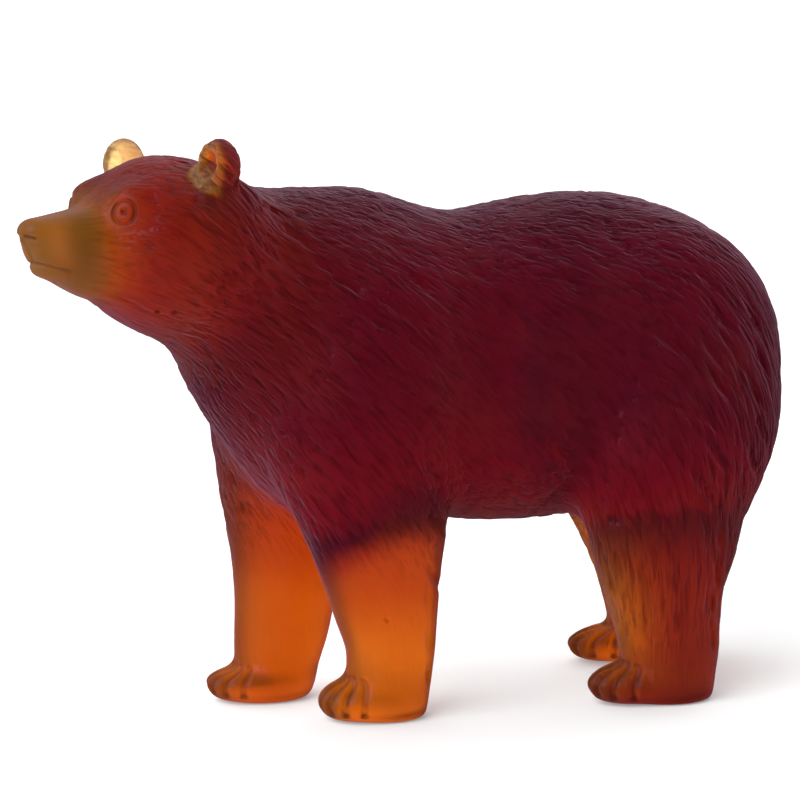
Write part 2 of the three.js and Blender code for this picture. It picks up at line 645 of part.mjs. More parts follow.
// Joins away the edges whose loss changes the skin least, until `target` faces are left.
function simplify({ positions, faces }, target, importance) {
  const p = Float64Array.from(positions);
  const f = Int32Array.from(faces);
  const vertexCount = p.length / 3;
  const at = (v) => [p[3 * v], p[3 * v + 1], p[3 * v + 2]];
  const quadric = new Float64Array(10 * vertexCount);
  const facesAt = Array.from({ length: vertexCount }, () => []);
  const alive = new Uint8Array(f.length / 3).fill(1);
  for (let n = 0; n < f.length / 3; n++) {
    const [a, b, c] = [at(f[3 * n]), at(f[3 * n + 1]), at(f[3 * n + 2])];
    const normal = cross(minus(b, a), minus(c, a));
    const area = hypot(...normal) || 1e-12;
    const [x, y, z] = normal.map((value) => value / area);
    const w = -(x * a[0] + y * a[1] + z * a[2]);
    const terms = [x * x, x * y, x * z, x * w, y * y, y * z, y * w, z * z, z * w, w * w];
    for (let corner = 0; corner < 3; corner++) {
      const v = f[3 * n + corner];
      facesAt[v].push(n);
      for (let i = 0; i < 10; i++) quadric[10 * v + i] += terms[i] * area;
    }
  }

  const q = new Float64Array(10);
  const errorAt = ([x, y, z]) => {
    const squares = q[0] * x * x + q[4] * y * y + q[7] * z * z;
    const products = q[1] * x * y + q[2] * x * z + q[5] * y * z;
    return squares + 2 * (products + q[3] * x + q[6] * y + q[8] * z) + q[9];
  };

  // The best place for the vertex that an edge shrinks to, and what that costs
  function shrink(u, v) {
    for (let i = 0; i < 10; i++) q[i] = quadric[10 * u + i] + quadric[10 * v + i];
    const a = at(u);
    const b = at(v);
    const middle = [(a[0] + b[0]) / 2, (a[1] + b[1]) / 2, (a[2] + b[2]) / 2];
    const rows = [[q[0], q[1], q[2]], [q[1], q[4], q[5]], [q[2], q[5], q[7]]];
    const right = [-q[3], -q[6], -q[8]];
    const volume = dot(rows[0], cross(rows[1], rows[2]));
    const size = q[0] + q[4] + q[7];
    let best = middle;
    let cost = errorAt(middle);
    if (volume > 1e-5 * size ** 3) {
      const place = [
        dot(right, cross(rows[1], rows[2])) / volume,
        dot(right, cross(rows[2], rows[0])) / volume,
        dot(right, cross(rows[0], rows[1])) / volume,
      ];
      if (hypot(...minus(place, middle)) < 1.5 * hypot(...minus(b, a))) {
        best = place;
        cost = errorAt(place);
      }
    }
    const stretch = 1e-3 * dot(minus(b, a), minus(b, a));
    return { place: best, cost: (max(cost, 0) + stretch) * importance(middle) };
  }

  // A heap of edges, cheapest first; an edge is out of date once an end has changed
  const heap = [];
  const stamp = new Int32Array(vertexCount);
  function push(u, v) {
    const { place, cost } = shrink(u, v);
    const entry = { u, v, place, cost, stamp: stamp[u] + stamp[v] };
    let i = heap.length;
    heap.push(entry);
    while (i > 0) {
      const parent = (i - 1) >> 1;
      if (heap[parent].cost <= cost) break;
      heap[i] = heap[parent];
      i = parent;
    }
    heap[i] = entry;
  }
  function pop() {
    const top = heap[0];
    const entry = heap.pop();
    const length = heap.length;
    if (length === 0) return top;
    let i = 0;
    while (2 * i + 1 < length) {
      let child = 2 * i + 1;
      if (child + 1 < length && heap[child + 1].cost < heap[child].cost) child++;
      if (heap[child].cost >= entry.cost) break;
      heap[i] = heap[child];
      i = child;
    }
    heap[i] = entry;
    return top;
  }

  const neighbours = (v) => {
    const found = new Set();
    for (const n of facesAt[v]) for (let c = 0; c < 3; c++) found.add(f[3 * n + c]);
    found.delete(v);
    return found;
  };
  const has = (n, v) => f[3 * n] === v || f[3 * n + 1] === v || f[3 * n + 2] === v;
  function turnsOver(v, other, place) {
    for (const n of facesAt[v]) {
      if (has(n, other)) continue;
      const corners = [0, 1, 2].map((c) => at(f[3 * n + c]));
      const before = cross(minus(corners[1], corners[0]), minus(corners[2], corners[0]));
      const moved = corners.map((corner, c) => (f[3 * n + c] === v ? place : corner));
      const [e0, e1, e2] = [0, 1, 2].map((c) => minus(moved[(c + 1) % 3], moved[c]));
      const after = cross(e0, e1);
      const area = hypot(...after);
      const longest = max(dot(e0, e0), dot(e1, e1), dot(e2, e2));
      if (dot(before, after) < 0.25 * hypot(...before) * area || area < 0.06 * longest) return true;
    }
    return false;
  }

  for (let n = 0; n < f.length / 3; n++)
    for (let c = 0; c < 3; c++) {
      const u = f[3 * n + c];
      const v = f[3 * n + ((c + 1) % 3)];
      if (u < v) push(u, v);
    }
  let left = f.length / 3;
  while (left > target && heap.length) {
    const { u, v, place, stamp: made } = pop();
    if (stamp[u] < 0 || stamp[v] < 0 || made !== stamp[u] + stamp[v]) continue;
    const nearU = neighbours(u);
    if (!nearU.has(v)) continue;
    let shared = 0;
    for (const w of neighbours(v)) if (nearU.has(w)) shared++;
    if (shared !== 2 || turnsOver(u, v, place) || turnsOver(v, u, place)) continue;
    for (const n of facesAt[u]) {
      if (has(n, v)) {
        alive[n] = 0;
        left--;
        continue;
      }
      for (let c = 0; c < 3; c++) if (f[3 * n + c] === u) f[3 * n + c] = v;
      facesAt[v].push(n);
    }
    for (const w of nearU) facesAt[w] = facesAt[w].filter((n) => alive[n]);
    facesAt[v] = facesAt[v].filter((n) => alive[n]);
    [p[3 * v], p[3 * v + 1], p[3 * v + 2]] = place;
    for (let i = 0; i < 10; i++) quadric[10 * v + i] += quadric[10 * u + i];
    stamp[u] = -1e9;
    stamp[v]++;
    for (const w of neighbours(v)) push(min(v, w), max(v, w));
  }

  const renumber = new Map();
  const kept = { positions: [], faces: [] };
  for (let n = 0; n < f.length / 3; n++) {
    if (!alive[n]) continue;
    for (let c = 0; c < 3; c++) {
      const v = f[3 * n + c];
      if (!renumber.has(v)) {
        renumber.set(v, renumber.size);
        kept.positions.push(...at(v));
      }
      kept.faces.push(renumber.get(v));
    }
  }
  return kept;
}

const FACES = 9900;
const SOLE_SNAP = 0.6;

// How much finer the skin is kept at a place: most at the face, then at the paws
function importance([x, y, z]) {
  for (const { centre } of eyes) if (hypot(...minus([x, y, z], centre)) < 20) return 90;
  if (x < -540 && z > 540) return 14;
  if (x < -370 && z > 655) return 8;
  if (x < -380 && z > 520) return 3;
  return z < 62 ? 8 : 1;
}

function bearMesh() {
  const fine = surfaceNet(bear, [GRID.x, GRID.y, GRID.z]);
  const { positions, faces } = simplify(fine, FACES, importance);
  for (let i = 2; i < positions.length; i += 3) if (positions[i] < SOLE_SNAP) positions[i] = 0;
  const geometry = new THREE.BufferGeometry();
  geometry.setAttribute("position", new THREE.Float32BufferAttribute(positions, 3));
  geometry.setIndex(faces);

  // Model units become millimetres, and the ground under the bear's middle the origin
  geometry.computeBoundingBox();
  const { min: low, max: high } = geometry.boundingBox;
  geometry.translate(-(low.x + high.x) / 2, -(low.y + high.y) / 2, 0);
  const scale = BEAR_LENGTH / (high.x - low.x);
  geometry.scale(scale, scale, scale);
  return geometry;
}

const crystal = new THREE.MeshStandardMaterial({ color: 0x7a1f14, roughness: 0.45, metalness: 0 });
const bearPiece = new THREE.Mesh(bearMesh(), crystal);
bearPiece.name = "bear";

const sculpture = new THREE.Group();
sculpture.add(bearPiece);

export default sculpture;
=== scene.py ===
"""A solid cast crystal bear, walking with its head raised, and the studio round it.

The bear is one casting of amber crystal that looks burgundy where it is thick. Its skin
is one fine mesh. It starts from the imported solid, is split into small triangles, and is
brought to the form: masses blended into one another, with the face, the toes and the
locks of fur carved out of them. Fine fur is carved along a nap that runs from the nose
to the rump and down the legs. A few burst bubbles are pits in the skin, and small bubbles
of air are sealed in the crystal.

Lengths of the form are in model units, about four to a millimetre. The frame says how
many metres one of them is. The bear faces -X, its left flank faces -Y and +Z is up.
"""

from __future__ import annotations

import json
import logging
import math
from collections.abc import Callable
from dataclasses import dataclass, field
from enum import Enum
from itertools import product

import bmesh
import bpy
import numpy as np
from mathutils import Matrix, Vector

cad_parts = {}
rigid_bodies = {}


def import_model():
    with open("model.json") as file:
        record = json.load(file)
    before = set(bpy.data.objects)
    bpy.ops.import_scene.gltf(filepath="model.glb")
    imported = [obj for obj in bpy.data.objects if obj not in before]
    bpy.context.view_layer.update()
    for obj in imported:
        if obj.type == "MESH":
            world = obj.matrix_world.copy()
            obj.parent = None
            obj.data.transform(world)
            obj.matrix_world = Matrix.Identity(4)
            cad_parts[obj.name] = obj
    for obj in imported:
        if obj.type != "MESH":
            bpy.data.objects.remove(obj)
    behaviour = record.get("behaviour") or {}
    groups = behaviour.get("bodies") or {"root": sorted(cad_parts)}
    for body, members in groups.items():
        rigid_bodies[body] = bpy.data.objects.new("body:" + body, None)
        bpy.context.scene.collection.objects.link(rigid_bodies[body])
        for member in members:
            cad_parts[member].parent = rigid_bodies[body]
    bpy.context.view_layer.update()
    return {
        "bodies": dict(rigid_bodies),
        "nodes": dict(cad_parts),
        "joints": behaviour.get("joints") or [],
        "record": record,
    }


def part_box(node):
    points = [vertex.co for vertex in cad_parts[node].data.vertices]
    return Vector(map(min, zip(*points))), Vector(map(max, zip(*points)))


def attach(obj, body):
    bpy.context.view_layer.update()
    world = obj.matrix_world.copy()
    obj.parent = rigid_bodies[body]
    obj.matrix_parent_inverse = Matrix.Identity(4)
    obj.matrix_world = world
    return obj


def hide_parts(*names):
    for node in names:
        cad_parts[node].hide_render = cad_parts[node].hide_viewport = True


log = logging.getLogger("bear")

Places = np.ndarray
Values = np.ndarray
Triple = tuple[float, float, float]
Field = Callable[[Places], Values]

NODE = "bear"
BODY = "root"


def join(a: Values, b: Values, reach: float) -> Values:
    """Joins two fields, rounding the valley between them.

    Args:
        a: the first field's values.
        b: the second field's values.
        reach: how far the rounding reaches.

    Returns:
        The values of both together.
    """
    h = np.maximum(reach - np.abs(a - b), 0) / reach
    return np.minimum(a, b) - h * h * reach / 4


def carve(a: Values, b: Values, reach: float) -> Values:
    """Cuts b out of a with a soft edge.

    Args:
        a: the values of the body that is cut.
        b: the values of what is cut out of it.
        reach: how far the softening reaches.

    Returns:
        The values of what is left.
    """
    return -join(-a, b, reach)


def smooth(low: float, high: float, value: Values) -> Values:
    """Rises from 0 at low to 1 at high, level at both ends."""
    share = np.clip((value - low) / (high - low), 0, 1)
    return share * share * (3 - 2 * share)


def mirrored(p: Places) -> Places:
    """Returns the places with those on the bear's right moved to its left."""
    return np.stack([p[0], np.abs(p[1]), p[2]])


def read_field(shape: Field, p: Places, step: float) -> tuple[Values, Places]:
    """Reads a field and which way it rises, from four readings about each place.

    Args:
        shape: the field.
        p: the places, as three rows.
        step: how far from a place its readings are.

    Returns:
        The value at each place, and the rise there along X, Y and Z.
    """
    total = np.zeros(p.shape[1])
    rise = np.zeros_like(p)
    for corner in ((1, -1, -1), (-1, -1, 1), (-1, 1, -1), (1, 1, 1)):
        way = np.array(corner, float)[:, None]
        reading = shape(p + step * way)
        total += reading
        rise += way * reading
    return total / 4, rise / (4 * step)


def to_skin(shape: Field, p: Places, rounds: int, step: float = 0.5) -> tuple[Places, Places]:
    """Brings places to where a field is zero.

    Args:
        shape: the field.
        p: the places, as three rows.
        rounds: how many times they are moved.
        step: how far from a place its readings are.

    Returns:
        The places on the skin, and the skin's outward normals there.
    """
    longest = 8.0
    for _ in range(rounds):
        value, rise = read_field(shape, p, step)
        size = np.sqrt((rise * rise).sum(0)) + 1e-9
        p = p - rise / size * np.clip(value / np.maximum(size, 0.3), -longest, longest)
    _, rise = read_field(shape, p, step)
    return p, rise / (np.sqrt((rise * rise).sum(0)) + 1e-9)


def noise(q: Places, seed: int) -> Values:
    """Smooth noise between -1 and 1 whose bumps are about one unit wide.

    Args:
        q: the places, as three rows.
        seed: which noise it is.

    Returns:
        The noise at each place.
    """
    base = np.floor(q).astype(np.int64)
    share = q - base
    share = share * share * (3 - 2 * share)
    total = np.zeros(q.shape[1])
    for corner in product((0, 1), repeat=3):
        x, y, z = (base[axis] + corner[axis] for axis in range(3))
        mixed = (x * 73856093) ^ (y * 19349663) ^ (z * 83492791) ^ (seed * 2654435761)
        mixed = (mixed ^ (mixed >> 13)) * 1274126177
        value = ((mixed ^ (mixed >> 16)) & 0xFFFF) / 32767.5 - 1
        for axis in range(3):
            value = value * (share[axis] if corner[axis] else 1 - share[axis])
        total += value
    return total


class Course:
    """A smooth course through rows of a place and the values there."""

    def __init__(self, *rows: tuple[float, ...]) -> None:
        """Makes the course.

        Args:
            rows: each a place and its values, with the places rising.
        """
        self.start = rows[0][0]
        self.end = rows[-1][0]
        self.places = np.arange(self.start, self.end + 1)
        self.columns = self._table(np.array(rows, float))

    def _table(self, rows: np.ndarray) -> np.ndarray:
        """Works out the values at every unit of the way.

        Args:
            rows: the rows as one array.

        Returns:
            One row of values for each column.
        """
        index = np.clip(np.searchsorted(rows[:, 0], self.places, "right") - 1, 0, len(rows) - 2)
        before = rows[np.maximum(index - 1, 0)]
        first = rows[index]
        second = rows[index + 1]
        after = rows[np.minimum(index + 2, len(rows) - 1)]
        width = (second - first)[:, :1]
        t = (self.places[:, None] - first[:, :1]) / width
        start_slope = (second - before) / (second - before)[:, :1] * width
        end_slope = (after - first) / (after - first)[:, :1] * width
        table = (2 * t**3 - 3 * t**2 + 1) * first + (t**3 - 2 * t**2 + t) * start_slope
        table += (3 * t**2 - 2 * t**3) * second + (t**3 - t**2) * end_slope
        return table[:, 1:].T

    def at(self, place: Values) -> list[Values]:
        """Returns the values of each column at these places."""
        return [np.interp(place, self.places, column) for column in self.columns]


@dataclass(frozen=True)
class Mass:
    """An egg with a radius of its own ahead, behind, sideways, below and above."""

    centre: Triple
    radii: tuple[float, float, float, float, float]
    blend: float = 1.0

    def distance(self, p: Places) -> Values:
        """Returns about how far each place is outside the egg."""
        ahead, behind, side, below, above = self.radii
        d = p - np.array(self.centre, float)[:, None]
        rx = np.where(d[0] < 0, ahead, behind)
        rz = np.where(d[2] < 0, below, above)
        u = np.stack([d[0] / rx, d[1] / side, d[2] / rz])
        v = np.stack([u[0] / rx, u[1] / side, u[2] / rz])
        k0 = np.sqrt((u * u).sum(0))
        k1 = np.sqrt((v * v).sum(0))
        return k0 * (k0 - 1) / np.maximum(k1, 1e-9)


@dataclass(frozen=True)
class Trunk:
    """The trunk: belly and back, ribs, shoulders, chest, both haunches and the tail."""

    masses: tuple[Mass, ...] = (
        Mass((140, 0, 400), (252, 276, 142, 168, 237)),
        Mass((-10, 0, 420), (250, 260, 143, 190, 194), 60),
        Mass((-176, 0, 440), (176, 180, 128, 204, 208), 50),
        Mass((-256, 4, 496), (119, 160, 108, 160, 136), 50),
    )
    haunch: Mass = Mass((232, 60, 440), (140, 150, 85, 160, 152), 50)
    tail: Mass = Mass((410, 0, 392), (22, 14, 20, 50, 36), 14)

    def distance(self, p: Places) -> Values:
        """Returns about how far each place is outside the trunk."""
        d = np.full(p.shape[1], 1e3)
        for mass in self.masses:
            d = join(d, mass.distance(p), mass.blend)
        d = join(d, self.haunch.distance(mirrored(p)), self.haunch.blend)
        return join(d, self.tail.distance(p), self.tail.blend)


@dataclass(frozen=True)
class Toes:
    """Five toes, parted by grooves in the front of a paw. Angles are in degrees."""

    count: int = 5
    apart: float = 23
    high: float = 64
    low: float = -18
    points: int = 9
    radius: float = 4.2
    depth: float = 0.5
    blend: float = 4


@dataclass(frozen=True)
class Paw:
    """A rounded pad with a flat sole. Its turn is how far the toes face to the bear's
    left, in degrees."""

    toe: float
    heel: float
    y: float
    side: float
    high: float
    turn: float
    toes: Toes = Toes()
    middle: float = 0.52
    level: float = 24
    below: float = 34

    @property
    def pad(self) -> Mass:
        """The pad."""
        middle = self.toe + (self.heel - self.toe) * self.middle
        radii = (middle - self.toe, self.heel - middle, self.side, self.below, self.high - self.level)
        return Mass((middle, self.y, self.level), radii)

    def toe_groove(self, index: int) -> Places:
        """Returns places along the groove between two toes, from its top down.

        Args:
            index: which groove it is, from 1.

        Returns:
            The places, as three rows.
        """
        toes = self.toes
        x, y, z = self.pad.centre
        front, _, side, below, above = self.pad.radii
        across = math.radians(toes.apart * (index - toes.count / 2) - self.turn)
        rise = np.radians(np.linspace(toes.high, toes.low, toes.points))
        up = np.sin(rise) * np.where(rise > 0, above, below)
        ahead = x - front * math.cos(across) * np.cos(rise)
        return np.stack([ahead, y + side * math.sin(across) * np.cos(rise), z + up])

    def carve_into(self, form: Form) -> None:
        """Carves the grooves between the toes into a form."""
        for index in range(1, self.toes.count):
            line = self.toe_groove(index)
            form.grooves.append(form.groove(line, self.toes.radius, self.toes.depth, self.toes.blend))


@dataclass(frozen=True)
class Limb:
    """A leg with its upper muscle and its paw. Rows of the leg are height, middle X,
    middle Y, half length and half width."""

    leg: Course
    muscle: Mass
    paw: Paw

    def leg_distance(self, p: Places) -> Values:
        """Returns about how far each place is outside the leg."""
        x, y, half_length, half_width = self.leg.at(p[2])
        ux = (p[0] - x) / half_length
        uy = (p[1] - y) / half_width
        k0 = np.hypot(ux, uy)
        k1 = np.hypot(ux / half_length, uy / half_width)
        ring = k0 * (k0 - 1) / np.maximum(k1, 1e-9)
        over = p[2] - self.leg.end
        return np.where(over > 0, np.hypot(np.maximum(ring, 0), over), ring)


FRONT_LEFT = Limb(
    Course(
        (0, -146, -66, 46, 42),
        (46, -146, -66, 54, 43),
        (85, -144, -66, 57, 44),
        (124, -150, -68, 65, 47),
        (176, -158, -71, 76, 51),
        (227, -166, -74, 90, 55),
        (291, -178, -76, 106, 58),
        (360, -186, -74, 112, 54),
        (420, -186, -66, 90, 40),
    ),
    Mass((-172, -64, 420), (112, 104, 80, 160, 166)),
    Paw(toe=-236, heel=-109, y=-63, side=47, high=54, turn=34),
)
FRONT_RIGHT = Limb(
    Course(
        (0, -250, 81, 50, 42),
        (46, -240, 81, 56, 43),
        (75, -235, 81, 61, 44),
        (124, -229, 81, 66, 47),
        (176, -224, 79, 75, 51),
        (227, -219, 77, 89, 55),
        (284, -215, 75, 104, 58),
        (360, -208, 72, 112, 54),
        (420, -200, 66, 90, 40),
    ),
    Mass((-184, 64, 406), (128, 104, 80, 150, 180)),
    Paw(toe=-334, heel=-198, y=80, side=48, high=44, turn=24),
)
HIND_LEFT = Limb(
    Course(
        (0, 220, -117, 52, 44),
        (60, 216, -116, 66, 48),
        (85, 214, -115, 70, 50),
        (133, 209, -113, 79, 54),
        (185, 212, -108, 97, 60),
        (240, 216, -100, 111, 66),
        (310, 226, -92, 124, 70),
        (380, 236, -80, 120, 62),
        (430, 236, -70, 90, 44),
    ),
    Mass((236, -68, 340), (136, 143, 92, 140, 150)),
    Paw(toe=106, heel=266, y=-112, side=46, high=54, turn=26),
)
HIND_RIGHT = Limb(
    Course(
        (0, 310, 101, 52, 44),
        (60, 305, 101, 66, 48),
        (85, 303, 101, 71, 50),
        (133, 296, 100, 81, 54),
        (185, 286, 97, 98, 60),
        (240, 271, 94, 112, 66),
        (310, 262, 88, 124, 70),
        (380, 252, 80, 120, 62),
        (430, 246, 70, 90, 44),
    ),
    Mass((242, 68, 340), (136, 137, 92, 140, 150)),
    Paw(toe=180, heel=362, y=102, side=48, high=50, turn=24),
)


@dataclass(frozen=True)
class Limbs:
    """The four limbs, and the hollows of the flank behind and ahead of them."""

    limbs: tuple[Limb, ...] = (FRONT_LEFT, FRONT_RIGHT, HIND_LEFT, HIND_RIGHT)
    hollows: tuple[Mass, ...] = (
        Mass((-30, 214, 440), (66, 60, 72, 200, 170), 56),
        Mass((102, 214, 376), (50, 40, 66, 170, 150), 56),
    )
    leg_blend: float = 34
    muscle_blend: float = 44
    paw_blend: float = 16
    paw_room: float = 90

    def join_to(self, p: Places, d: Values) -> Values:
        """Adds the limbs to the trunk.

        Args:
            p: the places, as three rows.
            d: the trunk's values there.

        Returns:
            The values of the trunk with its limbs.
        """
        for limb in self.limbs:
            d = join(d, limb.muscle.distance(p), self.muscle_blend)
        for hollow in self.hollows:
            d = carve(d, hollow.distance(mirrored(p)), hollow.blend)
        for limb in self.limbs:
            low = p[2] < limb.leg.end + self.leg_blend
            if low.any():
                d[low] = join(d[low], limb.leg_distance(p[:, low]), self.leg_blend)
        low = p[2] < self.paw_room
        if low.any():
            for limb in self.limbs:
                d[low] = join(d[low], limb.paw.pad.distance(p[:, low]), self.paw_blend)
        return d


@dataclass(frozen=True)
class Ear:
    """An ear that stands across the head, its cup open ahead. Its root runs down to the
    crown."""

    left: Triple = (-112, 92, 684)
    right: Triple = (-116, 96, 678)
    turn: float = math.radians(-4)
    shell: Mass = Mass((0, 0, 0), (24, 24, 28, 24, 32))
    root: Mass = Mass((4, -17, -15), (18, 22, 34, 26, 23), 12)
    cup: Mass = Mass((-27, 1, 2), (20, 24, 18, 17, 21), 5)

    def own_places(self, q: Places, is_left: np.ndarray) -> Places:
        """Returns places of the head's frame in the ear's own frame.

        Args:
            q: places as minus ahead, sideways and up, with both sides made one.
            is_left: which of them are on the bear's left.

        Returns:
            The places from the ear's middle, turned with it.
        """
        middle = np.where(is_left, np.array(self.left)[:, None], np.array(self.right)[:, None])
        d = q - middle
        c = math.cos(self.turn)
        s = math.sin(self.turn)
        return np.stack([d[0] * c - d[1] * s, d[0] * s + d[1] * c, d[2]])

    def distance(self, q: Places, is_left: np.ndarray) -> Values:
        """Returns about how far each place is outside the ear."""
        own = self.own_places(q, is_left)
        whole = join(self.shell.distance(own), self.root.distance(own), self.root.blend)
        return carve(whole, self.cup.distance(own), self.cup.blend)


@dataclass(frozen=True)
class Head:
    """The head and neck. The head has a frame of its own: s ahead of the pivot, t to the
    bear's left and z up, turned to the bear's left about the neck."""

    turn: float = math.radians(18)
    pivot: tuple[float, float] = (-300, 0)
    neck: tuple[Mass, ...] = (
        Mass((-300, -6, 540), (104, 130, 102, 162, 98), 50),
        Mass((-362, -26, 562), (128, 110, 97, 100, 92), 40),
    )
    blend: float = 46
    skull: Mass = Mass((-128, 0, 610), (99, 98, 97, 84, 84))
    cheek: Mass = Mass((-126, 50, 584), (84, 76, 56, 62, 74), 34)
    brow: Mass = Mass((-198, 42, 638), (25, 58, 25, 30, 27), 17)
    nose: Mass = Mass((-308, 0, 612), (15, 14, 19, 15, 14), 7)
    chin: Mass = Mass((-290, 0, 569), (16, 34, 17, 9, 16), 10)
    ear_base: Mass = Mass((-104, 74, 634), (36, 52, 38, 56, 38), 24)
    ear: Ear = Ear()
    ear_blend: float = 13
    muzzle_blend: float = 26
    muzzle: Course = field(
        default_factory=lambda: Course(
            (150, 590, 84, 80),
            (180, 586, 74, 74),
            (215, 585, 57, 61),
            (249, 587, 44, 50),
            (283, 593, 35, 38),
            (312, 599, 28, 28),
            (330, 601, 26, 24),
        )
    )
    muzzle_squareness: float = 2.5
    muzzle_end: float = 318
    muzzle_slant: float = 0.22
    muzzle_root: float = 150
    muzzle_rounding: float = 26

    def own_places(self, p: Places) -> Places:
        """Returns the bear's places in the head's frame."""
        dx = p[0] - self.pivot[0]
        dy = p[1] - self.pivot[1]
        c = math.cos(self.turn)
        n = math.sin(self.turn)
        return np.stack([-dx * c - dy * n, dx * n - dy * c, p[2]])

    def bear_places(self, h: Places) -> Places:
        """Returns places of the head's frame in the bear's frame."""
        c = math.cos(self.turn)
        n = math.sin(self.turn)
        x = self.pivot[0] - h[0] * c + h[1] * n
        y = self.pivot[1] - h[0] * n - h[1] * c
        return np.stack([x, y, h[2]])

    def muzzle_distance(self, h: Places) -> Values:
        """Returns about how far each place of the head's frame is outside the muzzle."""
        s, t, z = h
        middle, wide, high = self.muzzle.at(s)
        n = self.muzzle_squareness
        k = ((np.abs(t) / wide) ** n + (np.abs(z - middle) / high) ** n) ** (1 / n)
        end = self.muzzle_end + self.muzzle_slant * (z - self.nose.centre[2])
        bar = carve((k - 1) * np.minimum(wide, high), end - s, self.muzzle_rounding)
        return np.maximum(bar, self.muzzle_root - s)

    def distance(self, p: Places) -> Values:
        """Returns about how far each place is outside the head."""
        h = self.own_places(p)
        q = np.stack([-h[0], np.abs(h[1]), h[2]])
        d = join(self.skull.distance(q), self.cheek.distance(q), self.cheek.blend)
        d = join(d, self.muzzle_distance(h), self.muzzle_blend)
        for mass in (self.brow, self.nose, self.chin, self.ear_base):
            d = join(d, mass.distance(q), mass.blend)
        return join(d, self.ear.distance(q, h[1] > 0), self.ear_blend)

    def join_to(self, p: Places, d: Values) -> Values:
        """Adds the neck and the head to the body.

        Args:
            p: the places, as three rows.
            d: the body's values there.

        Returns:
            The values of the whole bear.
        """
        near = p[0] < -100
        if near.any():
            for mass in self.neck:
                d[near] = join(d[near], mass.distance(p[:, near]), mass.blend)
        near = (p[0] < -150) & (p[2] > 380)
        if near.any():
            d[near] = join(d[near], self.distance(p[:, near]), self.blend)
        return d


@dataclass(frozen=True)
class Groove:
    """A groove cut along a line of places on the skin."""

    line: np.ndarray
    radius: float
    blend: float = 2.5

    def cut(self, p: Places, d: Values) -> None:
        """Cuts the groove out of a form, in place.

        Args:
            p: the places, as three rows.
            d: the form's values there, which are changed.
        """
        reach = self.radius + self.blend
        low = self.line.min(1) - reach
        high = self.line.max(1) + reach
        near = (p[0] > low[0]) & (p[0] < high[0]) & (p[1] > low[1]) & (p[1] < high[1])
        near &= (p[2] > low[2]) & (p[2] < high[2])
        if not near.any():
            return
        q = p[:, near]
        closest = np.full(q.shape[1], 1e3)
        for start, end in zip(self.line.T[:-1], self.line.T[1:]):
            way = (end - start)[:, None]
            off = q - start[:, None]
            t = np.clip((off * way).sum(0) / (way * way).sum(), 0, 1)
            gap = off - way * t
            closest = np.minimum(closest, np.sqrt((gap * gap).sum(0)))
        d[near] = carve(d[near], closest - self.radius, self.blend)


class Form:
    """The whole bear as one field: below zero inside it, zero on its skin."""

    def __init__(self) -> None:
        """Makes the masses, with no carving yet."""
        self.trunk = Trunk()
        self.limbs = Limbs()
        self.head = Head()
        self.sole_rounding = 9.0
        self.grooves: list[Groove] = []

    def masses(self, p: Places) -> Values:
        """Returns about how far each place is outside the bear, before the carving."""
        return self.head.join_to(p, self.limbs.join_to(p, self.trunk.distance(p)))

    def distance(self, p: Places) -> Values:
        """Returns about how far each place is outside the carved bear on its soles."""
        d = self.masses(p)
        for groove in self.grooves:
            groove.cut(p, d)
        return carve(d, p[2], self.sole_rounding)

    def groove(self, line: Places, radius: float, depth: float = 0.5, blend: float = 2.5) -> Groove:
        """Makes a groove along places, each brought to the skin.

        Args:
            line: the places, as three rows.
            radius: the radius of the cut.
            depth: how deep it goes, as a share of its width.
            blend: how far its edge is softened.

        Returns:
            The groove.
        """
        at, out = to_skin(self.masses, line, 10)
        return Groove(at + out * radius * (1 - 2 * depth), radius, blend)


@dataclass(frozen=True)
class Face:
    """The carving of the face: eyes, nostrils, mouth and the line under the nose."""

    eye: Triple = (222, 58, 635)
    eye_ring: float = 13.8
    eye_groove: float = 2.3
    eye_sides: int = 32
    pupil_radius: float = 3.6
    nostril: tuple[Triple, ...] = ((325, 8, 607), (316, 17, 605))
    nostril_radius: float = 3.2
    mouth: tuple[Triple, ...] = (
        (316, 0, 576),
        (306, 19, 574),
        (292, 27, 571),
        (279, 33, 568),
    )
    mouth_radius: float = 2.2
    lip_line: tuple[Triple, ...] = ((330, 0, 600), (326, 0, 588), (320, 0, 578))
    lip_radius: float = 2.2

    def on_side(self, form: Form, line: tuple[Triple, ...], side: int) -> Places:
        """Returns a line of the head's frame in the bear's, on its left (1) or right (-1)."""
        h = np.array(line, float).T
        return form.head.bear_places(np.stack([h[0], side * h[1], h[2]]))

    def eye_centre(self, form: Form, side: int) -> tuple[Places, Places]:
        """Returns where the middle of an eye is on the skin, and its outward normal."""
        return to_skin(form.masses, self.on_side(form, (self.eye,), side), 10)

    def carve_eye(self, form: Form, side: int) -> None:
        """Carves one eye: a round ring, and the pupil inside it."""
        centre, out = self.eye_centre(form, side)
        u = np.cross(out[:, 0], (0, 0, 1))
        u /= np.linalg.norm(u)
        v = np.cross(u, out[:, 0])
        angles = np.linspace(0, 2 * math.pi, self.eye_sides + 1)
        ring = centre + self.eye_ring * (np.outer(u, np.cos(angles)) + np.outer(v, np.sin(angles)))
        form.grooves.append(form.groove(ring, self.eye_groove, 0.6, 1.5))
        pupil = centre - 1.5 * v[:, None]
        line = np.hstack([pupil, pupil + np.array([[0], [0], [2]])])
        form.grooves.append(form.groove(line, self.pupil_radius, 0.4, 1.5))

    def carve_into(self, form: Form) -> None:
        """Carves the whole face into a form."""
        for side in (-1, 1):
            self.carve_eye(form, side)
            mouth = self.on_side(form, self.mouth, side)
            nostril = self.on_side(form, self.nostril, side)
            form.grooves.append(form.groove(mouth, self.mouth_radius))
            form.grooves.append(form.groove(nostril, self.nostril_radius, 0.6))
        form.grooves.append(form.groove(self.on_side(form, self.lip_line, 1), self.lip_radius))


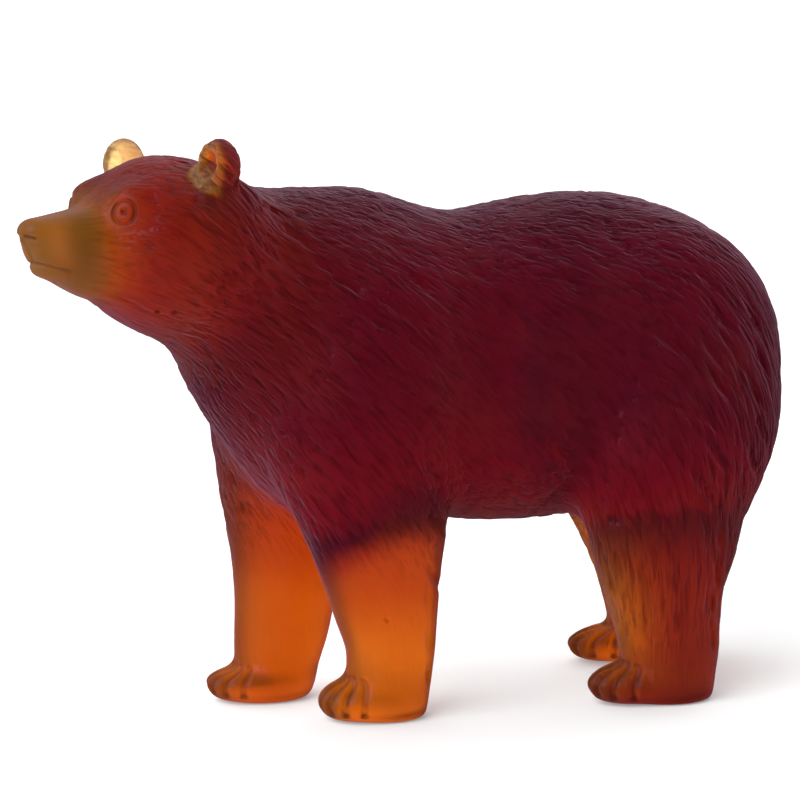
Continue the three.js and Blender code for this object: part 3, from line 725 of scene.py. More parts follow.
@dataclass(frozen=True)
class LockRow:
    """A row of cuts that part the locks of fur. They start along a line, given as X and Z
    on the flank, and each runs the same way."""

    start: tuple[float, float]
    end: tuple[float, float]
    run: tuple[float, float]
    count: int


@dataclass(frozen=True)
class Locks:
    """The broad locks of fur on both flanks, from the neck to the rump and the legs."""

    rows: tuple[LockRow, ...] = (
        LockRow((-322, 645), (-352, 520), (46, -30), 8),
        LockRow((-290, 610), (-322, 470), (52, -40), 8),
        LockRow((-236, 560), (-270, 400), (50, -46), 7),
        LockRow((-176, 600), (-196, 420), (54, -34), 6),
        LockRow((-128, 330), (-118, 200), (34, -44), 5),
        LockRow((-70, 560), (-60, 340), (58, -26), 7),
        LockRow((20, 590), (30, 300), (58, -28), 8),
        LockRow((130, 590), (150, 400), (56, -34), 6),
        LockRow((230, 560), (214, 300), (42, -50), 7),
        LockRow((310, 500), (292, 240), (30, -52), 7),
        LockRow((262, 230), (250, 110), (8, -48), 4),
        LockRow((-112, 170), (-106, 70), (3, -36), 3),
    )
    radius: float = 5.5
    depth: float = 0.5
    nearest: float = 60
    widest: float = 220

    def on_flank(self, form: Form, x: Values, z: Values, side: int) -> Places:
        """Returns the places on one flank that are seen straight from that side."""
        y = np.full(x.shape, self.widest)
        for _ in range(40):
            gap = np.maximum(form.masses(np.stack([x, side * y, z])), 0.01)
            y = np.where(y > 0, y - 0.8 * gap, y)
        return np.stack([x, side * y, z])

    def carve_into(self, form: Form) -> None:
        """Carves all the rows into a form, on both flanks."""
        share = np.array([0, 0.5, 1])
        sunk = self.radius * (1 - 2 * self.depth * 4 * share * (1 - share))
        for side, row in product((-1, 1), self.rows):
            for i in range(row.count):
                along = i / (row.count - 1)
                x = row.start[0] + (row.end[0] - row.start[0]) * along + (i % 2) * row.run[0] * 0.4
                z = row.start[1] + (row.end[1] - row.start[1]) * along + (i % 2) * row.run[1] * 0.1
                at = self.on_flank(form, x + row.run[0] * share, z + row.run[1] * share, side)
                if np.abs(at[1]).min() <= self.nearest:
                    continue
                _, rise = read_field(form.masses, at, 0.5)
                out = rise / np.sqrt((rise * rise).sum(0))
                form.grooves.append(Groove(at + out * sunk, self.radius))


@dataclass(frozen=True)
class Pits:
    """The small round pits that burst bubbles left in the skin."""

    places: tuple[Triple, ...] = (
        (-168, -116, 131),
        (175, -145, 455),
        (130, -143, 372),
        (-452, -112, 515),
        (-432, -115, 517),
        (40, 140, 430),
        (-190, 112, 140),
    )
    radius: float = 3.2
    depth: float = 0.6
    blend: float = 1.4
    edge: float = 1.4
    fade: float = 0.3

    def carve_into(self, form: Form) -> None:
        """Carves the pits into a form."""
        for place in self.places:
            line = np.array(place, float)[:, None] + np.array([[0, 0], [0, 0], [0, 0.5]])
            form.grooves.append(form.groove(line, self.radius, self.depth, self.blend))

    def longest_edge(self, p: Places, limit: Values) -> Values:
        """Returns the longest edge that may stay at each place, shorter round the pits."""
        for place in self.places:
            away = np.sqrt(((p - np.array(place, float)[:, None]) ** 2).sum(0))
            limit = np.minimum(limit, self.edge + self.fade * np.maximum(away - 2 * self.radius, 0))
        return limit


@dataclass
class Skin:
    """A closed mesh of triangles that is made finer and brought to a form."""

    points: np.ndarray
    faces: np.ndarray

    @classmethod
    def of_object(cls, source: bpy.types.Object, middle: Triple, scale: float) -> Skin:
        """Makes a skin from a solid of the frame.

        Args:
            source: the solid's object.
            middle: the form's place that stands at the frame's origin.
            scale: metres for each model unit.

        Returns:
            The skin, in model units, with its double points made one.
        """
        mesh = source.data
        mesh.calc_loop_triangles()
        raw = np.empty(len(mesh.vertices) * 3)
        mesh.vertices.foreach_get("co", raw)
        corners = np.empty(len(mesh.loop_triangles) * 3, np.int32)
        mesh.loop_triangles.foreach_get("vertices", corners)
        rounded = np.round(raw.reshape(-1, 3) * 1e6).astype(np.int64)
        points, index = np.unique(rounded, axis=0, return_inverse=True)
        faces = index.ravel()[corners].reshape(-1, 3)
        return cls((points * 1e-6 / scale + np.array(middle)).T.copy(), faces)

    def edges(self) -> tuple[np.ndarray, np.ndarray]:
        """Returns the two ends of each edge, and each face's three edges by number."""
        pairs = np.sort(self.faces[:, [[0, 1], [1, 2], [2, 0]]].reshape(-1, 2), axis=1)
        keys = pairs[:, 0].astype(np.int64) * self.points.shape[1] + pairs[:, 1]
        kept, index = np.unique(keys, return_inverse=True)
        ends = np.stack([kept // self.points.shape[1], kept % self.points.shape[1]])
        return ends, index.reshape(-1, 3)

    def split(self, limit: Callable[[Places], Values]) -> None:
        """Halves each edge that is longer than its limit.

        Args:
            limit: gives the longest edge that may stay at a place.
        """
        ends, of_face = self.edges()
        a = self.points[:, ends[0]]
        b = self.points[:, ends[1]]
        middle = (a + b) / 2
        is_long = np.sqrt(((a - b) ** 2).sum(0)) > limit(middle)
        number = np.where(is_long, self.points.shape[1] + np.cumsum(is_long) - 1, -1)
        self.points = np.hstack([self.points, middle[:, is_long]])
        cuts = number[of_face]
        count = (cuts >= 0).sum(1)
        made = [self.faces[count == 0]]
        for turn in range(3):
            f = np.roll(self.faces, -turn, axis=1)
            m = np.roll(cuts, -turn, axis=1)
            one = (count == 1) & (m[:, 0] >= 0)
            made.append(np.stack([f[one, 0], m[one, 0], f[one, 2]], 1))
            made.append(np.stack([m[one, 0], f[one, 1], f[one, 2]], 1))
            two = (count == 2) & (m[:, 2] < 0)
            made.append(np.stack([m[two, 0], f[two, 1], m[two, 1]], 1))
            made.append(np.stack([f[two, 0], m[two, 0], m[two, 1]], 1))
            made.append(np.stack([f[two, 0], m[two, 1], f[two, 2]], 1))
        three = count == 3
        f = self.faces[three]
        m = cuts[three]
        made.append(m)
        for i in range(3):
            made.append(np.stack([f[:, i], m[:, i], m[:, i - 1]], 1))
        self.faces = np.vstack(made)

    def even_out(self, normals: Places) -> None:
        """Moves each point along the skin, halfway to the middle of its neighbours.

        Args:
            normals: the outward normal at each point.
        """
        ends, _ = self.edges()
        count = self.points.shape[1]
        each = np.bincount(ends.ravel(), minlength=count)
        total = np.empty_like(self.points)
        for axis in range(3):
            row = self.points[axis]
            total[axis] = np.bincount(ends[0], row[ends[1]], count)
            total[axis] += np.bincount(ends[1], row[ends[0]], count)
        move = total / each - self.points
        move -= normals * (move * normals).sum(0)
        self.points = self.points + move * 0.5

    def to_mesh(self, name: str, middle: Triple, scale: float) -> bpy.types.Mesh:
        """Makes a smooth Blender mesh of the skin.

        Args:
            name: the mesh's name.
            middle: the form's place that stands at the frame's origin.
            scale: metres for each model unit.

        Returns:
            The mesh, in metres.
        """
        mesh = bpy.data.meshes.new(name)
        points = (self.points.T - np.array(middle)) * scale
        mesh.from_pydata(points.tolist(), [], self.faces.tolist())
        mesh.polygons.foreach_set("use_smooth", np.ones(len(mesh.polygons), bool))
        mesh.update()
        return mesh


@dataclass(frozen=True)
class Nap:
    """Which way the fur lies, seen from the side. Each anchor is an X, a Z and how many
    degrees below level the hairs point there, towards the rump."""

    anchors: tuple[Triple, ...] = (
        (-600, 612, -12),
        (-520, 640, -22),
        (-505, 590, 14),
        (-450, 690, 4),
        (-430, 600, 34),
        (-440, 540, 32),
        (-375, 650, 48),
        (-370, 560, 48),
        (-250, 590, 16),
        (-300, 500, 44),
        (-310, 430, 54),
        (-250, 350, 66),
        (-100, 590, 10),
        (60, 600, 5),
        (200, 625, 10),
        (320, 570, 40),
        (390, 480, 66),
        (420, 380, 84),
        (370, 260, 104),
        (-190, 480, 44),
        (-80, 480, 30),
        (60, 470, 26),
        (180, 450, 40),
        (280, 420, 60),
        (-60, 330, 36),
        (60, 310, 22),
        (180, 310, 62),
        (270, 300, 80),
        (-170, 250, 76),
        (-150, 80, 88),
        (-240, 80, 88),
        (220, 130, 86),
        (310, 130, 94),
        (230, 20, 90),
    )
    low: tuple[float, float] = (-640, -30)
    high: tuple[float, float] = (460, 750)
    step: float = 27.5

    def angle(self, x: Values, z: Values) -> Values:
        """Returns how far below level the hairs point, in radians."""
        total = np.zeros(x.shape)
        weight = np.zeros(x.shape)
        for ax, az, degrees in self.anchors:
            share = 1 / ((x - ax) ** 2 + (z - az) ** 2 + 400) ** 1.5
            total += share * degrees
            weight += share
        return np.radians(total / weight)

    def coordinates(self, p: Places) -> Places:
        """Finds two smooth coordinates that run along the hairs and across them.

        Args:
            p: the places, as three rows.

        Returns:
            The way along the hairs, the way across them, and Y, all in model units.
        """
        x = np.arange(self.low[0], self.high[0] + self.step, self.step)
        z = np.arange(self.low[1], self.high[1] + self.step, self.step)
        index = np.arange(len(x) * len(z)).reshape(len(x), len(z))
        rows = []
        ways = []
        for first, second, level in ((index[:-1], index[1:], True), (index[:, :-1], index[:, 1:], False)):
            dx = 0.5 if level else 0
            middle_x = x[first // len(z)] + dx * self.step
            middle_z = z[first % len(z)] + (0.5 - dx) * self.step
            angle = self.angle(middle_x, middle_z)
            along = np.cos(angle) if level else -np.sin(angle)
            across = np.sin(angle) if level else np.cos(angle)
            rows.append(np.stack([first.ravel(), second.ravel()]))
            ways.append(np.stack([along.ravel(), across.ravel()]) * self.step)
        pairs = np.hstack(rows)
        wanted = np.hstack(ways)
        matrix = np.zeros((index.size, index.size))
        right = np.zeros((index.size, 2))
        for sign, end in ((-1, pairs[0]), (1, pairs[1])):
            np.add.at(matrix, (end, end), 1)
            np.add.at(right, end, sign * wanted.T)
        np.add.at(matrix, (pairs[0], pairs[1]), -1)
        np.add.at(matrix, (pairs[1], pairs[0]), -1)
        matrix[0, 0] += 1
        solved = np.linalg.solve(matrix, right).reshape(len(x), len(z), 2)
        gx = np.clip((p[0] - self.low[0]) / self.step, 0, len(x) - 1.001)
        gz = np.clip((p[2] - self.low[1]) / self.step, 0, len(z) - 1.001)
        i = gx.astype(int)
        k = gz.astype(int)
        a = (gx - i)[:, None]
        b = (gz - k)[:, None]
        low = solved[i, k] * (1 - a) + solved[i + 1, k] * a
        high = solved[i, k + 1] * (1 - a) + solved[i + 1, k + 1] * a
        both = low * (1 - b) + high * b
        return np.stack([both[:, 0], both[:, 1], p[1]])


@dataclass(frozen=True)
class FineZone:
    """A ball in which the skin is kept finer."""

    centre: Triple
    radius: float
    edge: float


@dataclass(frozen=True)
class Strokes:
    """One size of carved fur strokes: length and width of a stroke, depth of the cut, and
    the share of the pattern that is cut."""

    length: float
    width: float
    depth: float
    share: float
    seed: int

    def height(self, nap: Places) -> Values:
        """Returns how far the strokes sink the skin, in model units."""
        value = noise(np.stack([nap[0] / self.length, nap[1] / self.width, nap[2] / self.width]), self.seed)
        return -self.depth * np.exp(-((value / self.share) ** 2))


@dataclass
class Maker:
    """Adds nodes to a material and links them."""

    tree: bpy.types.NodeTree

    def node(self, kind: str, **settings: object) -> bpy.types.Node:
        """Adds a node with these settings."""
        made = self.tree.nodes.new(kind)
        for name, value in settings.items():
            setattr(made, name, value)
        return made

    def put(self, target: bpy.types.NodeSocket, value: object) -> None:
        """Sets an input to a value, or links it to another node's output."""
        if isinstance(value, bpy.types.NodeSocket):
            self.tree.links.new(value, target)
        else:
            target.default_value = value

    def attribute(self, name: str) -> bpy.types.Node:
        """Adds a node that reads values stored on the mesh."""
        return self.node("ShaderNodeAttribute", attribute_name=name)

    def sums(self, kind: str, *values: object) -> bpy.types.NodeSocket:
        """Adds one sum, such as ADD or MULTIPLY_ADD, and returns its result."""
        made = self.node("ShaderNodeMath", operation=kind)
        for target, value in zip(made.inputs, values):
            self.put(target, value)
        return made.outputs[0]

    def spread(
        self, value: object, low: float, high: float, start: float, end: float
    ) -> bpy.types.NodeSocket:
        """Maps values between low and high to those between start and end."""
        made = self.node("ShaderNodeMapRange", interpolation_type="SMOOTHSTEP")
        for target, given in zip(made.inputs, (value, low, high, start, end)):
            self.put(target, given)
        return made.outputs["Result"]

    def noise(self, place: object, scale: float, detail: float) -> bpy.types.NodeSocket:
        """Adds noise over a place, and returns its value."""
        made = self.node("ShaderNodeTexNoise")
        self.put(made.inputs["Vector"], place)
        made.inputs["Scale"].default_value = scale
        made.inputs["Detail"].default_value = detail
        return made.outputs["Fac"]

    def scaled(self, place: object, by: Triple) -> bpy.types.NodeSocket:
        """Scales a place along each of its ways."""
        made = self.node("ShaderNodeVectorMath", operation="MULTIPLY")
        self.put(made.inputs[0], place)
        made.inputs[1].default_value = by
        return made.outputs[0]

    def times(self, colour: object, painted_shade: object) -> bpy.types.NodeSocket:
        """Darkens or brightens a colour by a number."""
        made = self.node("ShaderNodeVectorMath", operation="SCALE")
        self.put(made.inputs[0], colour)
        self.put(made.inputs["Scale"], painted_shade)
        return made.outputs[0]

    def ramp(self, value: object, stops: tuple[tuple[float, Triple], ...]) -> bpy.types.NodeSocket:
        """Turns a value into a colour by a row of stops."""
        made = self.node("ShaderNodeValToRGB")
        elements = made.color_ramp.elements
        while len(elements) < len(stops):
            elements.new(1.0)
        for element, (position, colour) in zip(elements, stops):
            element.position = position
            element.color = (*colour, 1)
        self.put(made.inputs["Fac"], value)
        return made.outputs["Color"]


@dataclass(frozen=True)
class Hairs:
    """One size of the finest strokes of the fur, in model units."""

    length: float
    width: float
    weight: float


@dataclass(frozen=True)
class CrystalFinish:
    """Satin amber crystal: clear enough inside to glow where it is thin, and burgundy where it is thick.
    Its base colour also carries painted glow from the amber map, painted shade in the carving and towards
    the soles, and painted shade in the grooves of the fur, with its ridges a little lighter."""

    name: str = "satin_crystal"
    # From burgundy to amber; the lightest stops carry the painted glow of the far ear and the muzzle.
    colours: tuple[tuple[float, Triple], ...] = (
        (0.0, (0.19, 0.008, 0.05)),
        (0.22, (0.38, 0.052, 0.014)),
        (0.5, (0.58, 0.15, 0.002)),
        (0.72, (0.82, 0.33, 0.004)),
        (0.86, (1.0, 0.5, 0.045)),
        (1.0, (1.0, 0.86, 0.42)),
    )
    absorbed: Triple = (0.86, 0.5, 0.2)
    density: float = 120.0
    clearness: float = 0.89
    reflected: Triple = (0.26, 0.13, 0.26)
    roughness: float = 0.38
    sheen: float = 0.22
    sheen_roughness: float = 0.45
    sheen_tint: Triple = (0.75, 0.36, 0.55)
    hairs: tuple[Hairs, ...] = (Hairs(46, 8.5, 0.8), Hairs(24, 4.2, 0.8))
    # Painted shade in the fur: the colour is darkened in the strokes' grooves and a little lightened on
    # their ridges.
    stroke_level: float = 0.8
    stroke_contrast: float = 0.62
    cloud_scale: float = 38.0
    cloud_share: float = 0.24
    refraction: float = 1.5
    bump: float = 0.75
    bump_metres: float = 0.0007

    def fur(self, make: Maker) -> bpy.types.NodeSocket:
        """Adds the finest strokes.

        Args:
            make: the maker of the material's nodes.

        Returns:
            Their height, from 0 to about 1.
        """
        nap = make.attribute("nap").outputs["Vector"]
        total = None
        for one in self.hairs:
            place = make.scaled(nap, (1 / one.length, 1 / one.width, 1 / one.width))
            height = make.spread(make.noise(place, 1.0, 0.3), 0.34, 0.5, 0, one.weight)
            total = height if total is None else make.sums("ADD", total, height)
        return make.sums("MULTIPLY", total, 1 / sum(one.weight for one in self.hairs))

    def make(self) -> bpy.types.Material:
        """Makes the material.

        Returns:
            The material, with its colour, roughness and bump worked out by nodes.
        """
        material = bpy.data.materials.new(self.name)
        material.use_nodes = True
        make = Maker(material.node_tree)
        shader = material.node_tree.nodes["Principled BSDF"]
        shader.inputs["Transmission Weight"].default_value = self.clearness
        shader.inputs["IOR"].default_value = self.refraction
        shader.inputs["Specular Tint"].default_value = (*self.reflected, 1)
        shader.inputs["Sheen Weight"].default_value = self.sheen
        shader.inputs["Sheen Roughness"].default_value = self.sheen_roughness
        shader.inputs["Sheen Tint"].default_value = (*self.sheen_tint, 1)
        absorption = make.node("ShaderNodeVolumeAbsorption")
        absorption.inputs["Color"].default_value = (*self.absorbed, 1)
        absorption.inputs["Density"].default_value = self.density
        make.put(material.node_tree.nodes["Material Output"].inputs["Volume"], absorption.outputs[0])

        place = make.node("ShaderNodeTexCoord").outputs["Object"]
        clouds = make.noise(place, self.cloud_scale, 3)
        fur_share = make.attribute("fur").outputs["Fac"]
        strokes = self.fur(make)
        # The amber map, with clouds, picks the colour; its lightest parts are painted glow.
        amber = make.sums("MULTIPLY_ADD", clouds, self.cloud_share, make.attribute("amber").outputs["Fac"])
        colour = make.ramp(make.sums("SUBTRACT", amber, self.cloud_share / 2), self.colours)
        # Painted shade along the fur: darker in the grooves of the strokes, lighter on their ridges, where
        # the skin carries fur.
        below = make.sums("SUBTRACT", strokes, self.stroke_level)
        light = make.sums("MULTIPLY_ADD", below, self.stroke_contrast, 1.0)
        eased = make.sums("MULTIPLY_ADD", make.sums("SUBTRACT", light, 1.0), fur_share, 1.0)
        # The painted shade of the carving and the soles darkens the colour here.
        shaded = make.sums("MULTIPLY", eased, make.attribute("painted_shade").outputs["Fac"])
        make.put(shader.inputs["Base Color"], make.times(colour, shaded))
        rough = make.spread(clouds, 0.3, 0.7, self.roughness - 0.05, self.roughness + 0.07)
        make.put(shader.inputs["Roughness"], rough)

        bump = make.node("ShaderNodeBump")
        bump.inputs["Strength"].default_value = self.bump
        bump.inputs["Distance"].default_value = self.bump_metres
        make.put(bump.inputs["Height"], make.sums("MULTIPLY", strokes, fur_share))
        make.put(shader.inputs["Normal"], bump.outputs["Normal"])
        return material


@dataclass(frozen=True)
class Rise:
    """An amount that is none at one value and full at another, level at both ends."""

    start: float
    end: float
    amount: float = 1.0

    def at(self, value: Values) -> Values:
        """Returns the amount at these values."""
        return self.amount * smooth(self.start, self.end, value)


@dataclass(frozen=True)
class Spot:
    """A soft spot on both flanks: its X and Z, how far it reaches, and how strong it is."""

    place: tuple[float, float]
    reach: tuple[float, float]
    amount: float

    def at(self, p: Places) -> Values:
        """Returns the spot's strength at these places."""
        x = (p[0] - self.place[0]) / self.reach[0]
        z = (p[2] - self.place[1]) / self.reach[1]
        return self.amount * np.exp(-(x**2 + z**2))


@dataclass(frozen=True)
class Tints:
    """Where the crystal is amber, partly with painted glow, where it is darkened by painted shade, and
    where it carries fur. A rise goes by X, by height, or by the way ahead in the head's frame."""

    neck_height: float = 300
    head_height: float = 420
    face_height: float = 480
    # The amber is partly the casting's own colour and partly painted glow: the far ear is made fully amber
    # and the near ear's cup lighter as if lit through, the lower legs grow amber towards the paws, and the
    # muzzle, the throat and the neck are made lighter as if lit from above.
    neck: Rise = Rise(-230, -330, 0.06)
    head: Rise = Rise(-330, -420, 0.2)
    throat: Spot = Spot((-300, 560), (90, 100), 0.12)
    muzzle: Rise = Rise(188, 252, 0.6)
    ear: Rise = Rise(42, 34)
    ear_cup: Rise = Rise(-2, -12, 0.6)
    left_ear: float = 0.04
    right_ear: float = 1.0
    lean: float = 0.9
    lean_from: float = -170
    front_left: tuple[Rise, Rise] = (Rise(282, 205, 0.4), Rise(230, 70, 0.3))
    front_right: tuple[Rise, Rise] = (Rise(390, 240, 0.34), Rise(250, 120, 0.24))
    hind_left: Rise = Rise(340, 90, 0.3)
    shin: tuple[Rise, Rise, Rise] = (Rise(212, 128, 0.56), Rise(260, 110), Rise(-20, 100))
    hind_right: tuple[Rise, Rise] = (Rise(330, 230, 0.8), Rise(90, 40, -0.2))

    # Painted shade: the colour is darkened in the carving, most on the face and the paws, and towards the
    # soles.
    carving: Rise = Rise(0.3, 3.5, 0.4)
    coarse_carving: float = 0.2
    face_start: float = 195
    paw_height: float = 75
    sole_height: float = 3
    sole: Rise = Rise(1, 16, 0.55)

    bare_muzzle: Rise = Rise(225, 275)
    bare_eye: Rise = Rise(15, 30)
    front_fur: Rise = Rise(170, 260, 0.9)
    hind_fur: Rise = Rise(50, 120, 0.7)
    bare_sole: Rise = Rise(14, 40)
    calm_flank: Spot = Spot((20, 400), (150, 130), 0.6)
    calm_head: Rise = Rise(-400, -440, 0.5)

    def amber(self, form: Form, p: Places) -> Values:
        """Returns how amber the crystal is at each place, from 0 to 1: partly the casting's own colour,
        partly painted glow where light passes through the far ear, the near ear's cup and the lower legs,
        and painted light on the muzzle, the throat and the neck.
        """
        x, y, z = p
        h = form.head.own_places(p)
        own = form.head.ear.own_places(np.stack([-h[0], np.abs(h[1]), h[2]]), h[1] > 0)
        ears = self.ear.at(np.sqrt((own * own).sum(0)))
        ears *= np.where(h[1] > 0, self.left_ear + self.ear_cup.at(own[0]), self.right_ear)
        head = self.head.at(x) * (z > self.head_height) + self.neck.at(x) * (z > self.neck_height)
        head += self.throat.at(p) + self.muzzle.at(h[0]) * (z > self.face_height) + ears
        leaning = z + self.lean * np.maximum(self.lean_from - x, 0)
        front_left = self.front_left[0].at(leaning) + self.front_left[1].at(z)
        front_right = self.front_right[0].at(z) + self.front_right[1].at(z)
        across, down, paw = self.shin
        hind_left = self.hind_left.at(z) + across.at(x) * down.at(z) * paw.at(z)
        hind_right = self.hind_right[0].at(z) + self.hind_right[1].at(z)
        front = np.where(y < 0, front_left, front_right)
        hind = np.where(y < 0, hind_left, hind_right)
        return np.clip(head + np.where(x < 0, front, hind), 0, 1)

    def painted_shade(self, form: Form, p: Places) -> Values:
        """Returns the painted shade, as a share of colour kept: darker in the carving and towards the
        soles.
        """
        is_face = (form.head.own_places(p)[0] > self.face_start) & (p[2] > self.face_height)
        share = np.where(is_face | (p[2] < self.paw_height), 1.0, self.coarse_carving)
        carved = self.carving.at(-form.masses(p)) * (p[2] > self.sole_height) * share
        return (1 - carved) * (1 - self.sole.amount + self.sole.at(p[2]))

    def fur(self, form: Form, p: Places) -> Values:
        """Returns how much fur each place carries, from 0 to 1."""
        is_face = p[2] > self.face_height
        fur = 1 - self.bare_muzzle.at(form.head.own_places(p)[0]) * is_face
        for side in (-1, 1):
            centre, _ = Face().eye_centre(form, side)
            fur = fur * self.bare_eye.at(np.sqrt(((p - centre) ** 2).sum(0)))
        front = 1 - self.front_fur.amount + self.front_fur.at(p[2])
        hind = 1 - self.hind_fur.amount + self.hind_fur.at(p[2])
        fur = fur * np.where(p[0] < 0, front, hind) * (1 - self.calm_flank.at(p))
        return fur * (1 - self.calm_head.at(p[0]) * is_face) * self.bare_sole.at(p[2])


@dataclass(frozen=True)
class Casting:
    """The cast bear: its fine skin, its fur and its finish."""

    length: float = 1032.67
    middle: Triple = (-91.468, -1.199, 0)
    edge: float = 11.7
    edge_growth: float = 0.1
    pits: Pits = Pits()
    tints: Tints = Tints()
    zones: tuple[FineZone, ...] = (
        FineZone((-520, -80, 620), 100, 3.9),
        FineZone((-300, -110, 560), 90, 6.4),
        FineZone((290, -120, 330), 130, 6.4),
        FineZone((230, -140, 150), 90, 5.6),
        FineZone((-600, -90, 600), 40, 2.2),
        FineZone((-493, -124, 635), 18, 1.5),
        FineZone((-529, -14, 635), 18, 1.7),
        FineZone((-374, -118, 684), 46, 3.0),
        FineZone((-439, 51, 682), 46, 3.0),
        FineZone((-200, -66, 20), 60, 3.6),
        FineZone((-290, 80, 20), 60, 3.6),
        FineZone((150, -112, 20), 60, 3.6),
        FineZone((220, 102, 20), 60, 3.6),
    )
    levels: tuple[float, ...] = (4.0, 2.4, 1.5, 1.0)
    rounds: int = 3
    strokes: tuple[Strokes, ...] = (
        Strokes(length=44, width=11, depth=1.7, share=0.22, seed=3),
        Strokes(length=26, width=8, depth=1.0, share=0.25, seed=8),
    )

    @property
    def scale(self) -> float:
        """How many metres a model unit is."""
        low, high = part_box(NODE)
        return (high[0] - low[0]) / self.length

    def longest_edge(self, p: Places) -> Values:
        """Returns the longest edge that the finished skin may have at each place."""
        limit = np.full(p.shape[1], self.edge)
        for zone in self.zones:
            away = np.sqrt(((p - np.array(zone.centre, float)[:, None]) ** 2).sum(0))
            limit = np.minimum(limit, zone.edge + self.edge_growth * np.maximum(away - zone.radius, 0))
        return self.pits.longest_edge(p, limit)

    def build(self, frame: dict, form: Form) -> bpy.types.Object:
        """Makes the bear's skin as a Blender object.

        Args:
            form: the carved form.

        Returns:
            The object, with its nap, fur, painted shade and amber stored on the mesh; the amber is partly
            painted glow.
        """
        skin = Skin.of_object(frame["nodes"][NODE], self.middle, self.scale)
        for level in self.levels:
            for _ in range(2):
                skin.split(lambda p, level=level: level * self.longest_edge(p))
            for _ in range(self.rounds):
                _, rise = read_field(form.distance, skin.points, 0.8)
                skin.even_out(rise / (np.sqrt((rise * rise).sum(0)) + 1e-9))
                skin.points, _ = to_skin(form.distance, skin.points, 1, 0.8)
            log.info("skin at level %.1f: %d triangles", level, len(skin.faces))
        skin.points, normals = to_skin(form.distance, skin.points, 2, 0.6)
        nap = Nap().coordinates(skin.points)
        fur = self.tints.fur(form, skin.points)
        # Painted shade in the carving and towards the soles, which the finish multiplies into the colour.
        painted_shade = self.tints.painted_shade(form, skin.points)
        for strokes in self.strokes:
            skin.points = skin.points + normals * strokes.height(nap) * fur
        skin.points[2] = np.maximum(skin.points[2], 0)
        mesh = skin.to_mesh("bear_skin", self.middle, self.scale)
        self.store(mesh, "fur", "FLOAT", "value", fur)
        self.store(mesh, "painted_shade", "FLOAT", "value", painted_shade)
        # The amber, partly painted glow on the ears, the muzzle, the throat and the legs.
        self.store(mesh, "amber", "FLOAT", "value", self.tints.amber(form, skin.points))
        self.store(mesh, "nap", "FLOAT_VECTOR", "vector", nap.T)
        piece = bpy.data.objects.new("crystal_bear", mesh)
        bpy.context.collection.objects.link(piece)
        return piece

    @staticmethod
    def store(mesh: bpy.types.Mesh, name: str, kind: str, field_name: str, values: np.ndarray) -> None:
        """Stores values on a mesh's points under a name that the finish reads."""
        attribute = mesh.attributes.new(name, kind, "POINT")
        attribute.data.foreach_set(field_name, np.ascontiguousarray(values, np.float32).ravel())


@dataclass(frozen=True)
class BubbleFinish:
    """The skin of a trapped bubble: smooth and clear, with a pale gleam."""

    name: str = "trapped_air"
    colour: Triple = (1.0, 0.86, 0.6)
    clearness: float = 0.9
    roughness: float = 0.04
    refraction: float = 1.33

    def make(self) -> bpy.types.Material:
        """Makes the material."""
        material = bpy.data.materials.new(self.name)
        material.use_nodes = True
        make = Maker(material.node_tree)
        shader = material.node_tree.nodes["Principled BSDF"]
        shader.inputs["Transmission Weight"].default_value = self.clearness
        shader.inputs["IOR"].default_value = self.refraction
        place = make.node("ShaderNodeTexCoord").outputs["Object"]
        rough = make.spread(make.noise(place, 400, 2), 0.3, 0.7, self.roughness, 2 * self.roughness)
        make.put(shader.inputs["Roughness"], rough)
        make.put(shader.inputs["Base Color"], (*self.colour, 1))
        return material


@dataclass(frozen=True)
class Bubbles:
    """Small bubbles of air, sealed in the crystal at some depth below its skin."""

    count: int = 30
    smallest: float = 1.1
    largest: float = 2.6
    shallow: float = 6.0
    deep: float = 22.0
    low: Triple = (-600, -165, 8)
    high: Triple = (400, 165, 700)
    rounds: int = 3
    tries: int = 4000
    stretch: tuple[float, float] = (0.9, 1.4)
    seed: int = 11

    def places(self, form: Form) -> Places:
        """Returns where the bubbles are, as three rows."""
        random = np.random.default_rng(self.seed)
        low = np.array(self.low)[:, None]
        tried = low + (np.array(self.high)[:, None] - low) * random.random((3, self.tries))
        below = -form.masses(tried)
        return tried[:, (below > self.shallow) & (below < self.deep)][:, : self.count]

    def build(self, form: Form, middle: Triple, scale: float) -> bpy.types.Object:
        """Makes all the bubbles as one Blender object.

        Args:
            form: the bear's form.
            middle: the form's place that stands at the frame's origin.
            scale: metres for each model unit.

        Returns:
            The object.
        """
        random = np.random.default_rng(self.seed)
        mesh = bpy.data.meshes.new("bubbles")
        shape = bmesh.new()
        for place in self.places(form).T:
            at = Vector((place - np.array(middle)) * scale)
            radius = random.uniform(self.smallest, self.largest) * scale
            grow = Matrix.Diagonal((1, 1, random.uniform(*self.stretch), 1))
            turned = Matrix.Translation(at) @ grow
            bmesh.ops.create_icosphere(shape, subdivisions=self.rounds, radius=radius, matrix=turned)
        shape.to_mesh(mesh)
        shape.free()
        mesh.polygons.foreach_set("use_smooth", np.ones(len(mesh.polygons), bool))
        piece = bpy.data.objects.new("trapped_bubbles", mesh)
        bpy.context.collection.objects.link(piece)
        piece.data.materials.append(BubbleFinish().make())
        return piece


class Light(Enum):
    """The soft lights round the bear."""

    KEY = "key"
    RIM = "rim"


